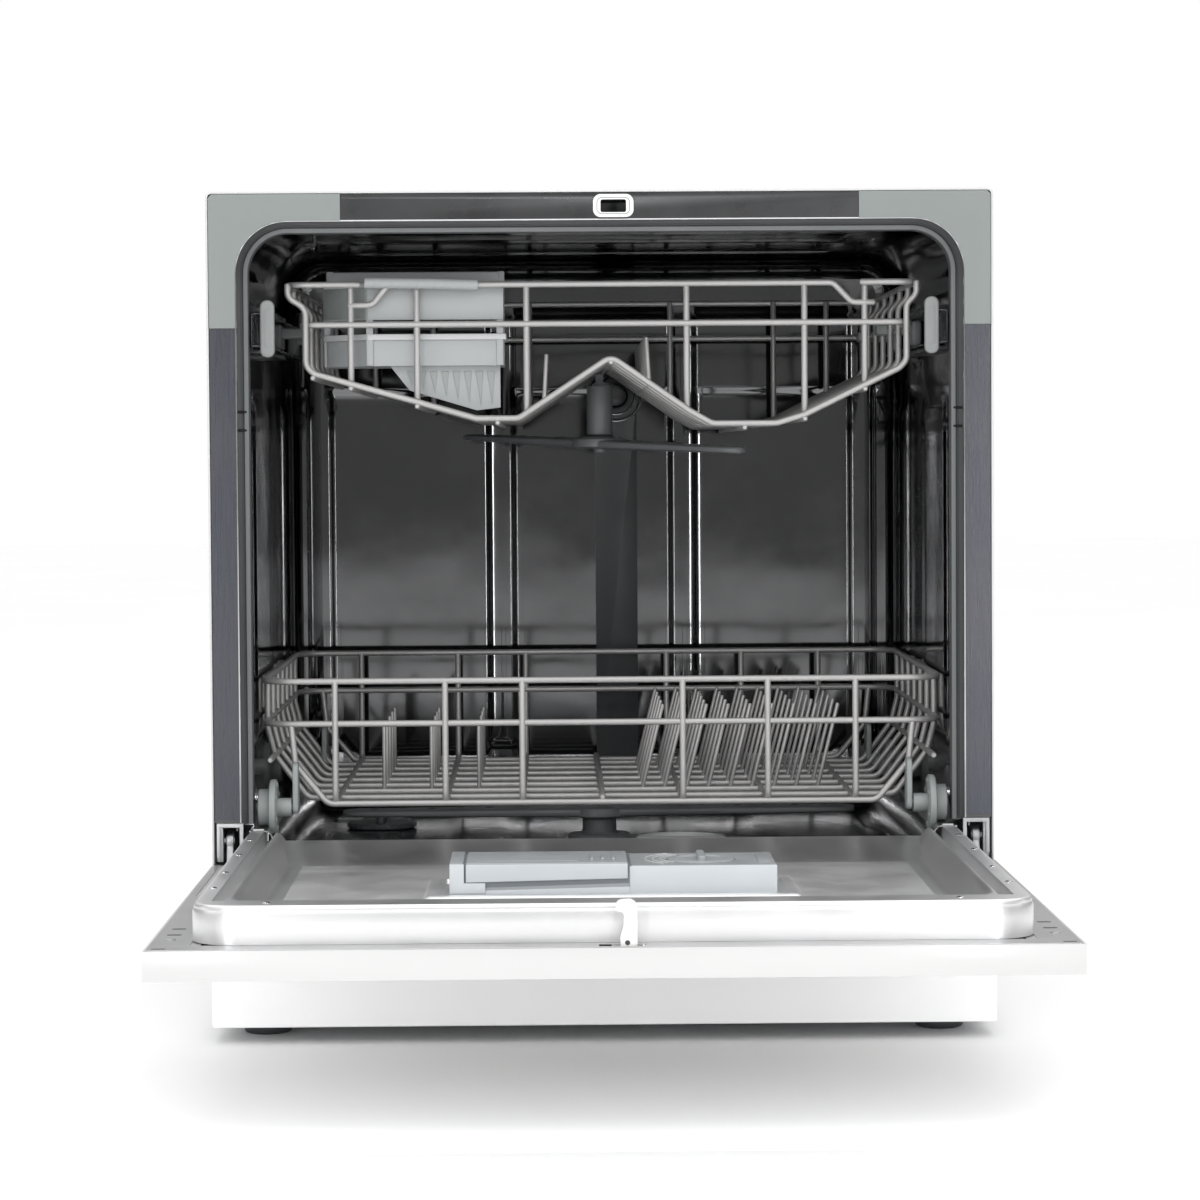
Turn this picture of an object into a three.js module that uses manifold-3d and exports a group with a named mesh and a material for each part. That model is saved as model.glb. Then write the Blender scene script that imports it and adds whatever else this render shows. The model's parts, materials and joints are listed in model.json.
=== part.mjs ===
// Compact eight-place dishwasher, shown with its door let down.
// Millimetres, +Z up, X to the right seen from the front, +Y into the cabinet.
// Inside this file Y = 0 is the cabinet's front plane; the exported group is
// shifted by Y_SHIFT so the origin is the middle of the footprint with the door open.
import * as THREE from 'three';
import { mergeVertices } from 'three/addons/utils/BufferGeometryUtils.js';
import Module from 'manifold-3d';

const wasm = await Module();
wasm.setup();

// ---------------------------------------------------------------- dimensions
const Y_SHIFT = -22;
const HALF_W = 275;            // cabinet and door half width
const TOP = 595;               // cabinet height
const SKIN = 1.5;              // painted sheet
const BACK = 478.5;            // rear edge of the wrap
const TIP = -438;              // free edge of the open door
const PIV_Y = 13, PIV_Z = 140; // door pivot
const PANEL_LO = 106, PANEL_HI = 124;   // open door panel, outer and inner face
const RIM = 147.7;             // wheel track: liner rim and tub ledge
const OPEN_X = 254.7, OPEN_TOP = 574.5, OPEN_R = 36;   // front frame opening
const TUB_X = 250, TUB_TOP = 570, TUB_BACK = 440, TUB_FLOOR = 118;
const CHAN_X = 258, CHAN_TOP = 577.5, CHAN_Y = 38;      // gasket channel
const LEDGE_X = 237.6;         // inner edge of the wheel ledge
const SHEET = 1.2;
const WIRE = 4.2;              // rack wire
const TINE = 3;
const ARM_C = [0, 230], ARM_R = 197;                    // lower spray arm
const UARM_C = [2, 215], UARM_R = 150;                  // upper spray arm
const SUMP_C = [60, 165];
const SALT_C = [-170, 300];
const DUCT_X = 18, DUCT_Z = 458;
const WHEEL_Y = [36, 370], WHEEL_R = 13, FLANGE_R = 20, WHEEL_Z = 161;

// ---------------------------------------------------------------- helpers
function solid(geometry, matrix) {
  let g = geometry.index ? geometry.clone() : geometry.clone();
  g.deleteAttribute('normal');
  g.deleteAttribute('uv');
  if (matrix) g.applyMatrix4(matrix);
  g = mergeVertices(g, 1e-5);
  const idx = g.index.array, tri = [];
  for (let i = 0; i < idx.length; i += 3) {
    const [a, b, c] = [idx[i], idx[i + 1], idx[i + 2]];
    if (a !== b && b !== c && a !== c) tri.push(a, b, c);
  }
  return new wasm.Manifold(new wasm.Mesh({
    numProp: 3,
    vertProperties: new Float32Array(g.attributes.position.array),
    triVerts: new Uint32Array(tri),
  }));
}
const T = (x, y, z) => new THREE.Matrix4().makeTranslation(x, y, z);
const box = (x0, x1, y0, y1, z0, z1) =>
  solid(new THREE.BoxGeometry(x1 - x0, y1 - y0, z1 - z0), T((x0 + x1) / 2, (y0 + y1) / 2, (z0 + z1) / 2));
// symmetric pair helper: same box on the side s (+1 right, -1 left)
const sbox = (s, x0, x1, y0, y1, z0, z1) => s > 0 ? box(x0, x1, y0, y1, z0, z1) : box(-x1, -x0, y0, y1, z0, z1);
function rod(p, q, r, seg = 12) {
  const a = new THREE.Vector3(...p), b = new THREE.Vector3(...q), d = b.clone().sub(a), len = d.length();
  const m = new THREE.Matrix4().makeRotationFromQuaternion(
    new THREE.Quaternion().setFromUnitVectors(new THREE.Vector3(0, 1, 0), d.normalize()));
  m.setPosition(a.clone().add(b).multiplyScalar(0.5));
  return solid(new THREE.CylinderGeometry(r, r, len, seg), m);
}
const cylX = (r, x0, x1, y, z, seg = 24) => rod([x0, y, z], [x1, y, z], r, seg);
const cylY = (r, y0, y1, x, z, seg = 24) => rod([x, y0, z], [x, y1, z], r, seg);
const cylZ = (r, z0, z1, x, y, seg = 24) => rod([x, y, z0], [x, y, z1], r, seg);
const shapeOf = (pts, holes = []) => {
  const s = new THREE.Shape(pts.map(([a, b]) => new THREE.Vector2(a, b)));
  for (const h of holes) s.holes.push(new THREE.Path(h.map(([a, b]) => new THREE.Vector2(a, b))));
  return s;
};
const extrude = (pts, depth, holes) => new THREE.ExtrudeGeometry(shapeOf(pts, holes), { depth, bevelEnabled: false, steps: 1 });
// outline in (x, y), raised from z0 to z1
const prismZ = (pts, z0, z1, holes) => solid(extrude(pts, z1 - z0, holes), T(0, 0, z0));
// outline in (x, z), from y0 to y1
const prismY = (pts, y0, y1, holes) => {
  const m = new THREE.Matrix4().makeRotationX(Math.PI / 2); // (x,y,z)->(x,-z,y)
  m.setPosition(0, y1, 0);
  return solid(extrude(pts, y1 - y0, holes), m);
};
// outline in (y, z), from x0 to x1
const prismX = (pts, x0, x1, holes) => {
  const m = new THREE.Matrix4().set(0, 0, 1, x0, 1, 0, 0, 0, 0, 1, 0, 0, 0, 0, 0, 1);
  return solid(extrude(pts, x1 - x0, holes), m);
};
const join = (...parts) => parts.flat().reduce((a, b) => a.add(b));
const cut = (a, ...tools) => tools.flat().reduce((x, b) => x.subtract(b), a);

// arc points, degrees
const arc = (cx, cy, r, a0, a1, n) => Array.from({ length: n + 1 }, (_, i) => {
  const a = THREE.MathUtils.degToRad(a0 + (a1 - a0) * i / n);
  return [cx + r * Math.cos(a), cy + r * Math.sin(a)];
});
// opening outline: flat bottom, two rounded top corners (in x, z)
const arch = (hx, bottom, top, r, n = 5) => [
  [-hx, bottom], [hx, bottom],
  ...arc(hx - r, top - r, r, 0, 90, n), ...arc(-hx + r, top - r, r, 90, 180, n)];
const roundRect = (x0, x1, y0, y1, r, n = 4) => [
  ...arc(x1 - r, y0 + r, r, -90, 0, n), ...arc(x1 - r, y1 - r, r, 0, 90, n),
  ...arc(x0 + r, y1 - r, r, 90, 180, n), ...arc(x0 + r, y0 + r, r, 180, 270, n)];
// flat ribbon of width w along a polyline, as a closed outline with mitred corners
function ribbon(pts, w) {
  const L = [], R = [], h = w / 2;
  for (let i = 0; i < pts.length; i++) {
    const p = new THREE.Vector2(...pts[i]);
    const a = i > 0 ? p.clone().sub(new THREE.Vector2(...pts[i - 1])).normalize() : null;
    const b = i < pts.length - 1 ? new THREE.Vector2(...pts[i + 1]).sub(p).normalize() : null;
    const d = a && b ? a.clone().add(b).normalize() : (a || b);
    const n = new THREE.Vector2(-d.y, d.x);
    const base = a || b, nb = new THREE.Vector2(-base.y, base.x);
    const k = Math.min(2, 1 / Math.max(0.5, n.dot(nb)));
    L.push([p.x + n.x * h * k, p.y + n.y * h * k]);
    R.push([p.x - n.x * h * k, p.y - n.y * h * k]);
  }
  return [...L, ...R.reverse()];
}
// rectangular wire loop in plan, centre line on a rounded rectangle
const loopZ = (x0, x1, y0, y1, z, r, w = WIRE) =>
  prismZ(roundRect(x0 - w / 2, x1 + w / 2, y0 - w / 2, y1 + w / 2, r + w / 2, 3), z - w / 2, z + w / 2,
    [roundRect(x0 + w / 2, x1 - w / 2, y0 + w / 2, y1 - w / 2, Math.max(0.5, r - w / 2), 3)]);
const barX = (x0, x1, y, z, w = WIRE) => box(x0, x1, y - w / 2, y + w / 2, z - w / 2, z + w / 2);
const barY = (y0, y1, x, z, w = WIRE) => box(x - w / 2, x + w / 2, y0, y1, z - w / 2, z + w / 2);
const barZ = (z0, z1, x, y, w = WIRE) => box(x - w / 2, x + w / 2, y - w / 2, y + w / 2, z0, z1);

const part = new THREE.Group();
part.name = 'dishwasher';
part.position.set(0, Y_SHIFT, 0);
function add(name, man, color, roughness = 0.5, metalness = 0) {
  const mesh = man.getMesh();
  const g = new THREE.BufferGeometry();
  const n = mesh.numProp, v = mesh.vertProperties;
  const pos = new Float32Array(v.length / n * 3);
  for (let i = 0; i < v.length / n; i++) {
    pos[3 * i] = v[n * i]; pos[3 * i + 1] = v[n * i + 1]; pos[3 * i + 2] = v[n * i + 2];
  }
  g.setAttribute('position', new THREE.BufferAttribute(pos, 3));
  g.setIndex(new THREE.BufferAttribute(new Uint32Array(mesh.triVerts), 1));
  g.computeVertexNormals();
  const m = new THREE.Mesh(g, new THREE.MeshStandardMaterial({ color, roughness, metalness }));
  m.name = name;
  part.add(m);
  return m;
}
const WHITE = 0xf0f0ee, STEEL = 0xb9bcbe, GREY = 0xa0a8a6, DARK = 0x3a3c3e, PALE = 0xd8dcdc, BLACK = 0x1c1c1e, RUB = 0x7c8080, BLUEGREY = 0xb4bec4;

// ================================================================= cabinet
{
  const r = 4;
  const outer = [[-HALF_W, 12], [-HALF_W, TOP - r], ...arc(-HALF_W + r, TOP - r, r, 180, 90, 3), ...arc(HALF_W - r, TOP - r, r, 90, 0, 3), [HALF_W, 12],
    [HALF_W - SKIN, 12], ...arc(HALF_W - r, TOP - r, r - SKIN, 0, 90, 3), ...arc(-HALF_W + r, TOP - r, r - SKIN, 90, 180, 3), [-HALF_W + SKIN, 12]];
  add('outer_wrap', prismY(outer, -1, BACK), WHITE, 0.35);
}
add('back_panel', cut(box(-273.2, 273.2, 476, 477.2, 42, 590),
  cylY(12.6, 470, 480, 170, 72), cylY(10.6, 470, 480, 112, 62), cylY(8.6, 470, 480, 222, 56)), 0x9a9da0, 0.45, 0.8);
// base pan with two moulded rear feet
{
  let pan = cut(box(-273.2, 273.2, 0.5, 475.5, 10, 40), box(-270.7, 270.7, 3, 473, 13, 60));
  pan = join(pan, box(-255, -225, 425, 455, 0, 11), box(225, 255, 425, 455, 0, 11));
  pan = cut(pan, cylZ(5.4, 5, 20, -240, 40, 16), cylZ(5.4, 5, 20, 240, 40, 16), box(-60, 60, 200, 260, 5, 14));
  add('base_pan', pan, 0x55585a, 0.7);
}
add('plinth_panel', cut(box(-HALF_W, HALF_W, -14, -1.5, 11, 96), box(-HALF_W + 2, HALF_W - 2, -12, 2, 13, 94)), WHITE, 0.35);
for (const [s, n] of [[-1, 'foot_front_left'], [1, 'foot_front_right']])
  add(n, join(cylZ(17, 0, 7.5, s * 240, 40, 20), cylZ(5, 7, 32, s * 240, 40, 12)), BLACK, 0.7);

// front flange of the tub: an arch of sheet, with the strike hole
{
  const H = 273.2, Z1 = 593.2, Z0 = 153.5;
  const out = [[-H, Z0], [-H, Z1 - 2.5], [-H + 2.5, Z1], [H - 2.5, Z1], [H, Z1 - 2.5], [H, Z0], [OPEN_X, Z0],
    ...arc(OPEN_X - OPEN_R, OPEN_TOP - OPEN_R, OPEN_R, 0, 90, 6), ...arc(-OPEN_X + OPEN_R, OPEN_TOP - OPEN_R, OPEN_R, 90, 180, 6), [-OPEN_X, Z0]];
  add('front_frame', cut(prismY(out, 0, 1.5), box(0.2, 18.8, -1, 3, 578.9, 588.6)), STEEL, 0.35, 0.9);
  for (const s of [-1, 1]) {
    const pts = [[181, 593.2], [270.7, 593.2], [273.2, 590.7], [273.2, 500], [OPEN_X, 500], ...arc(OPEN_X - OPEN_R, OPEN_TOP - OPEN_R, OPEN_R, 0, 90, 6), [181, OPEN_TOP]];
    const q = s > 0 ? pts : pts.map(([x, z]) => [-x, z]).reverse();
    add(s < 0 ? 'corner_cover_left' : 'corner_cover_right', prismY(q, -1.8, -0.3), GREY, 0.5);
  }
  add('strike_trim', prismY(roundRect(-4.8, 23.8, 575.8, 592.1, 3, 3), -2.2, -0.3, [roundRect(0.5, 18.5, 579.2, 588.3, 1.5, 2)]), WHITE, 0.3);
  add('door_lock', cut(box(-12, 31, 1.8, 36, 579.2, 592.8), box(-0.3, 19.3, 0, 28.5, 580.2, 588.2)), DARK, 0.6);
}

// tub: sheet shell, gasket channel at the mouth, wheel ledges, ramped floor front
{
  const floorIn = [[0, 150], [0, 141], [2, 141], [47, 127], [62, TUB_FLOOR], [TUB_BACK, TUB_FLOOR], [TUB_BACK, 150]];
  const floorOut = [[1.8, 149], [1.8, 139.8], [46.6, 125.8], [61.5, TUB_FLOOR - SHEET], [TUB_BACK + SHEET, TUB_FLOOR - SHEET], [TUB_BACK + SHEET, 149]];
  const inner = join(
    prismY(arch(CHAN_X, RIM, CHAN_TOP, 38, 5), 0, CHAN_Y),
    prismY(arch(TUB_X, RIM, TUB_TOP, 30, 5), CHAN_Y - 1, TUB_BACK),
    prismX(floorIn, -LEDGE_X, LEDGE_X));
  const outer = join(
    prismY(arch(CHAN_X + SHEET, RIM - SHEET, CHAN_TOP + SHEET, 39.2, 5), 1.8, CHAN_Y + SHEET),
    prismY(arch(TUB_X + SHEET, RIM - SHEET, TUB_TOP + SHEET, 31.2, 5), CHAN_Y, TUB_BACK + SHEET),
    prismX(floorOut, -LEDGE_X - SHEET, LEDGE_X + SHEET));
  add('tub', cut(outer, inner,
    cylZ(50, 100, 130, ...SUMP_C, 28), cylZ(12.4, 100, 130, ...ARM_C, 16), cylZ(22, 100, 130, ...SALT_C, 20)), STEEL, 0.25, 0.95);
}
add('door_gasket', prismY([[-257.7, 150], ...arc(-257.7 + 37.7, 577.2 - 37.7, 37.7, 180, 90, 5), ...arc(257.7 - 37.7, 577.2 - 37.7, 37.7, 90, 0, 5), [257.7, 150],
  [247.5, 150], ...arc(247.5 - 28, 567 - 28, 28, 0, 90, 5), ...arc(-247.5 + 28, 567 - 28, 28, 90, 180, 5), [-247.5, 150]], 23, 37.7), RUB, 0.8);

// hinge brackets with the pivot pin, balance springs
for (const [s, n] of [[-1, 'left'], [1, 'right']]) {
  add('hinge_bracket_' + n, join(
    sbox(s, 253, 255.6, -0.5, 1.5, 129, 153.2), sbox(s, 269, 271.6, -0.5, 4, 129, 153.2), sbox(s, 253, 271.6, -0.5, 1.5, 150.4, 153.2),
    sbox(s, 267.4, 271.6, 1.8, 45, 126, 175), cylX(3.4, s > 0 ? 260 : -268.5, s > 0 ? 268.5 : -260, PIV_Y, PIV_Z, 14)), PALE, 0.45);
  add('door_spring_' + n, join(cylY(6.5, 150, 320, s * 262, 70, 12), cylY(1.5, 120, 152, s * 262, 70, 6), cylY(1.5, 318, 350, s * 262, 70, 6)), 0x888a8c, 0.4, 0.9);
}

// hydraulics under the tub
{
  const [sx, sy] = SUMP_C;
  let sump = join(cylZ(54, 60, 116.4, sx, sy, 28), cylZ(16, 72, 116.4, ...ARM_C, 18), rod([sx, sy, 84], [ARM_C[0], ARM_C[1], 84], 11, 12));
  sump = cut(sump, cylZ(50.5, 63, 120, sx, sy, 28), cylZ(9, 88, 120, ...ARM_C, 14));
  add('sump', sump, DARK, 0.6);
  // removable cup filter with a grip bridge
  add('filter_cup', cut(join(cylZ(34, 68, 124, sx, sy, 24)), cut(cylZ(31.5, 70, 130, sx, sy, 24), box(sx - 40, sx + 40, sy - 3, sy + 3, 116, 130))), 0x6a7278, 0.6);
  add('filter_plate', cut(cylZ(62, 118.3, 119.6, sx, sy, 28), cylZ(35, 110, 125, sx, sy, 24)), STEEL, 0.4, 0.9);
  add('lower_arm_hub', join(cylZ(24, 118.3, 120.4, ...ARM_C, 20), cylZ(13, 120, 132.2, ...ARM_C, 16), cylZ(6, 132, 144, ...ARM_C, 12)), DARK, 0.6);
  add('wash_pump', join(cylX(36, -70, -4, 385, 62, 24), cylX(42, -5, 20, 385, 62, 24), cylX(10, 19, 34, 385, 62, 12)), 0x4a4d50, 0.6);
  add('drain_pump', join(cylX(22, 62, 118, 318, 42, 18), cylX(26, 117.5, 128, 318, 42, 18)), 0x56595c, 0.6);
  add('water_heater', join(cylX(17, -88, 30, 308, 44, 16), cylX(20, -92, -84, 308, 44, 16)), STEEL, 0.4, 0.9);
  add('water_softener', join(box(-235, -108, 236, 338, 20, 110), cylZ(23, 109, 116.4, ...SALT_C, 18)), 0xc8cccc, 0.6);
  add('salt_cap', join(cylZ(27, 118.3, 123.5, ...SALT_C, 24), box(SALT_C[0] - 22, SALT_C[0] + 22, SALT_C[1] - 3, SALT_C[1] + 3, 123, 129.5)), 0x2f4f6f, 0.5);
  add('inlet_valve', join(box(150, 190, 440, 470, 50, 95), cylY(12, 469, 482, 170, 72, 18)), 0xd8d8d2, 0.6);
  add('drain_spigot', join(cylY(16, 450, 475.6, 112, 62, 18), cylY(10, 475, 482, 112, 62, 16)), DARK, 0.6);
  add('cord_gland', join(cylY(13, 466, 475.6, 222, 56, 16), cylY(8, 475, 481.5, 222, 56, 14)), BLACK, 0.7);
  // riser on the rear wall with the docking ring of the upper rack
  add('feed_duct', cut(join(box(DUCT_X - 17, DUCT_X + 17, 429.5, 439.7, 150, 482), cylY(19, 418, 430, DUCT_X, DUCT_Z, 24)),
    cylY(10, 410, 434, DUCT_X, DUCT_Z, 16)), 0x4a4e50, 0.5);
}

// ================================================================= rails
for (const [s, n] of [[-1, 'left'], [1, 'right']]) {
  add('rail_bearing_' + n, join(sbox(s, 247.3, 249.7, 60, 250, 484, 516), sbox(s, 238, 248, 60, 250, 484, 487), sbox(s, 238, 248, 60, 250, 513, 516)), PALE, 0.5);
  add('upper_rail_' + n, join(sbox(s, 245.8, 247, 32, 425, 488, 512), sbox(s, 235, 246, 32, 425, 488, 489.2), sbox(s, 235, 246, 32, 425, 510.8, 512)), STEEL, 0.35, 0.95);
  add('rail_stop_cap_' + n, sbox(s, 229.5, 240, 24.6, 31.6, 480, 521), PALE, 0.5);
}

// ================================================================= upper rack
const UX = 226, UY0 = 45, UY1 = 408;
const uProfile = [[-UX, 532], [-UX, 524], [-213, 518], [-204, 469], [-177, 461.5], [-130, 448.5], [-88, 436.5], [-58, 436.5], [8, 480],
  [64, 441], [80, 432], [126, 432], [146, 438], [189, 459], [207, 470], [216, 518], [UX, 524], [UX, 532]];
{
  const parts = [loopZ(-UX, UX, UY0, UY1, 532, 14), loopZ(-214, 216, UY0, UY1, 503.5, 10)];
  for (const y of [UY0, 105, 165, 226, 287, 348, UY1])
    parts.push(prismY(ribbon(uProfile, WIRE), y - WIRE / 2, y + WIRE / 2));
  for (const [x, z] of [[-204, 469], [-177, 461.5], [-130, 448.5], [-73, 436.5], [8, 479], [103, 432], [146, 438], [189, 459]])
    parts.push(barY(UY0, UY1, x, z));
  for (const y of [UY0, UY1]) for (const [x, z] of [[-177, 461.5], [-130, 448.5], [-52, 441], [62, 442], [146, 438], [189, 459]])
    parts.push(barZ(z, x === -130 ? 504 : 532, x, y));
  // sliding shoes carried in the rails
  for (const s of [-1, 1]) for (const y of [190, 350])
    parts.push(sbox(s, 237, 244.8, y, y + 40, 490.2, 509.8), sbox(s, s > 0 ? 212 : 209, 238, y + 12, y + 28, 499, 507));
  add('upper_rack', join(parts), 0xc9c8c4, 0.3, 0.9);
}
{
  const w = 3.9, h = 2.5;
  const ring = (r) => [[UY0 - r, 532 - r], [UY0 + r, 532 - r], [UY0 + r, 532 + r], [UY0 - r, 532 + r]];
  add('rack_handle', prismX([[UY0 - w, 532 - 2], [UY0 - 2, 532 - w], [UY0 + 2, 532 - w], [UY0 + w, 532 - 2], [UY0 + w, 532 + 2], [UY0 + 2, 532 + w], [UY0 - 2, 532 + w], [UY0 - w, 532 + 2]],
    -167, -86, [ring(h)]), GREY, 0.5);
}
// open cutlery basket hung in the upper rack
{
  let b = cut(box(-199, -68, 53, 128, 474, 545), box(-197, -70, 55, 126, 476, 560));
  b = cut(b, box(-190, -77, 40, 140, 499, 514), box(-210, -60, 62, 119, 499, 514));
  b = join(b, box(-155, -153, 54, 127, 475, 530), box(-112, -110, 54, 127, 475, 530));
  add('cutlery_basket', b, GREY, 0.5);
}
add('upper_feed_pipe', cut(join(rod([DUCT_X, 417.4, DUCT_Z], [UARM_C[0], UARM_C[1], 457], 8.5, 14), cylZ(10, 425.5, 462, ...UARM_C, 14), cylZ(5, 412, 426, ...UARM_C, 12),
  box(UARM_C[0] - 3, UARM_C[0] + 3, 221, 231, 455, 471))), GREY, 0.5);
// spray arms: two blades that narrow towards round ends
function armOutline(R, root, tip) {
  return [...arc(R - tip, 0, tip, -90, 90, 6), [root + 6, root], [-root - 6, root], ...arc(-R + tip, 0, tip, 90, 270, 6), [-root - 6, -root], [root + 6, -root]];
}
{
  const a = THREE.MathUtils.degToRad(-49), tilt = THREE.MathUtils.degToRad(2.5);
  const m = prismZ(armOutline(UARM_R, 17, 12), -4.25, 4.25);
  const rot = (man) => {
    const mesh = man.getMesh();
    const g = new THREE.BufferGeometry();
    g.setAttribute('position', new THREE.BufferAttribute(new Float32Array(mesh.vertProperties), 3));
    g.setIndex(new THREE.BufferAttribute(new Uint32Array(mesh.triVerts), 1));
    return solid(g, new THREE.Matrix4().makeTranslation(UARM_C[0], UARM_C[1], 418.5).multiply(new THREE.Matrix4().makeRotationZ(a)).multiply(new THREE.Matrix4().makeRotationY(tilt)));
  };
  add('upper_spray_arm', cut(rot(m), cylZ(5.4, 400, 440, ...UARM_C, 12)), GREY, 0.5);
  const l = cut(prismZ(armOutline(ARM_R, 20, 13).map(([x, y]) => [x + ARM_C[0], y + ARM_C[1]]), 133, 142.5), cylZ(6.4, 120, 150, ...ARM_C, 14));
  add('lower_spray_arm', l, GREY, 0.5);
}

// ================================================================= lower rack
const LX = 242, LY0 = 42, LY1 = 404;
{
  const prof = [[-LX, 250], [-LX, 214], [-237, 194], [-213, 162], [213, 162], [237, 194], [LX, 214], [LX, 250]];
  const parts = [loopZ(-LX, LX, LY0, LY1, 250, 24), loopZ(-LX + 0.5, LX - 0.5, LY0, LY1, 219.5, 24)];
  const ys = [88, 134, 180, 226, 272, 318, 364];
  for (const y of ys) parts.push(prismY(ribbon(prof, WIRE), y - WIRE / 2, y + WIRE / 2));
  const prof2 = [[-205, 176], [-196, 162], [196, 162], [205, 176]];
  for (const y of [LY0, LY1]) parts.push(prismY(ribbon([[-222, 219.5], [-219, 190], ...prof2.slice(1, 3), [219, 190], [222, 219.5]], WIRE), y - WIRE / 2, y + WIRE / 2));
  for (const x of [-190.5, -112, -57, 57.5, 118.3, 181]) {
    for (const y of [LY0, LY1]) parts.push(barZ(161, 252, x, y));
    parts.push(barY(LY0, LY1, x, 163));
  }
  parts.push(barY(LY0 + 10, LY1 - 10, 0, 163));
  // side cross bars
  for (const s of [-1, 1]) parts.push(barY(LY0 + 20, LY1 - 20, s * 237, 194));
  // plate tines on the right half, leaning outwards; a straight row on the left
  for (const y of [134, 226, 318]) {
    for (let i = 0; i < 9; i++) {
      const x = 30 + i * 16.2;
      parts.push(prismY([[x - TINE / 2, 161], [x + TINE / 2, 161], [x + 16 + TINE / 2, 226], [x + 16 - TINE / 2, 226]], y - TINE / 2, y + TINE / 2));
    }
    for (const x of [-160, -125, -90]) parts.push(barZ(161, 212, x, y, TINE));
  }
  // axle carriers
  for (const s of [-1, 1]) for (const y of WHEEL_Y)
    parts.push(sbox(s, 216.5, 220.6, y - 6, y + 24, 156, 193), cylX(3, s > 0 ? 219 : -246.5, s > 0 ? 246.5 : -219, y, WHEEL_Z, 10));
  add('lower_rack', join(parts), 0xc9c8c4, 0.3, 0.9);
  let k = 0;
  for (const [s, y, n] of [[-1, WHEEL_Y[0], 'front_left'], [1, WHEEL_Y[0], 'front_right'], [-1, WHEEL_Y[1], 'rear_left'], [1, WHEEL_Y[1], 'rear_right']]) {
    const X = (a, b) => s > 0 ? [a, b] : [-b, -a];
    add('rack_wheel_' + n, cut(join(cylX(WHEEL_R, ...X(236.9, 245), y, WHEEL_Z, 24), cylX(FLANGE_R, ...X(231.5, 237), y, WHEEL_Z, 24), cylX(6.6, ...X(221.2, 232), y, WHEEL_Z, 14)),
      cylX(3.4, ...X(215, 250), y, WHEEL_Z, 10)), PALE, 0.5);
  }
}

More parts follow.
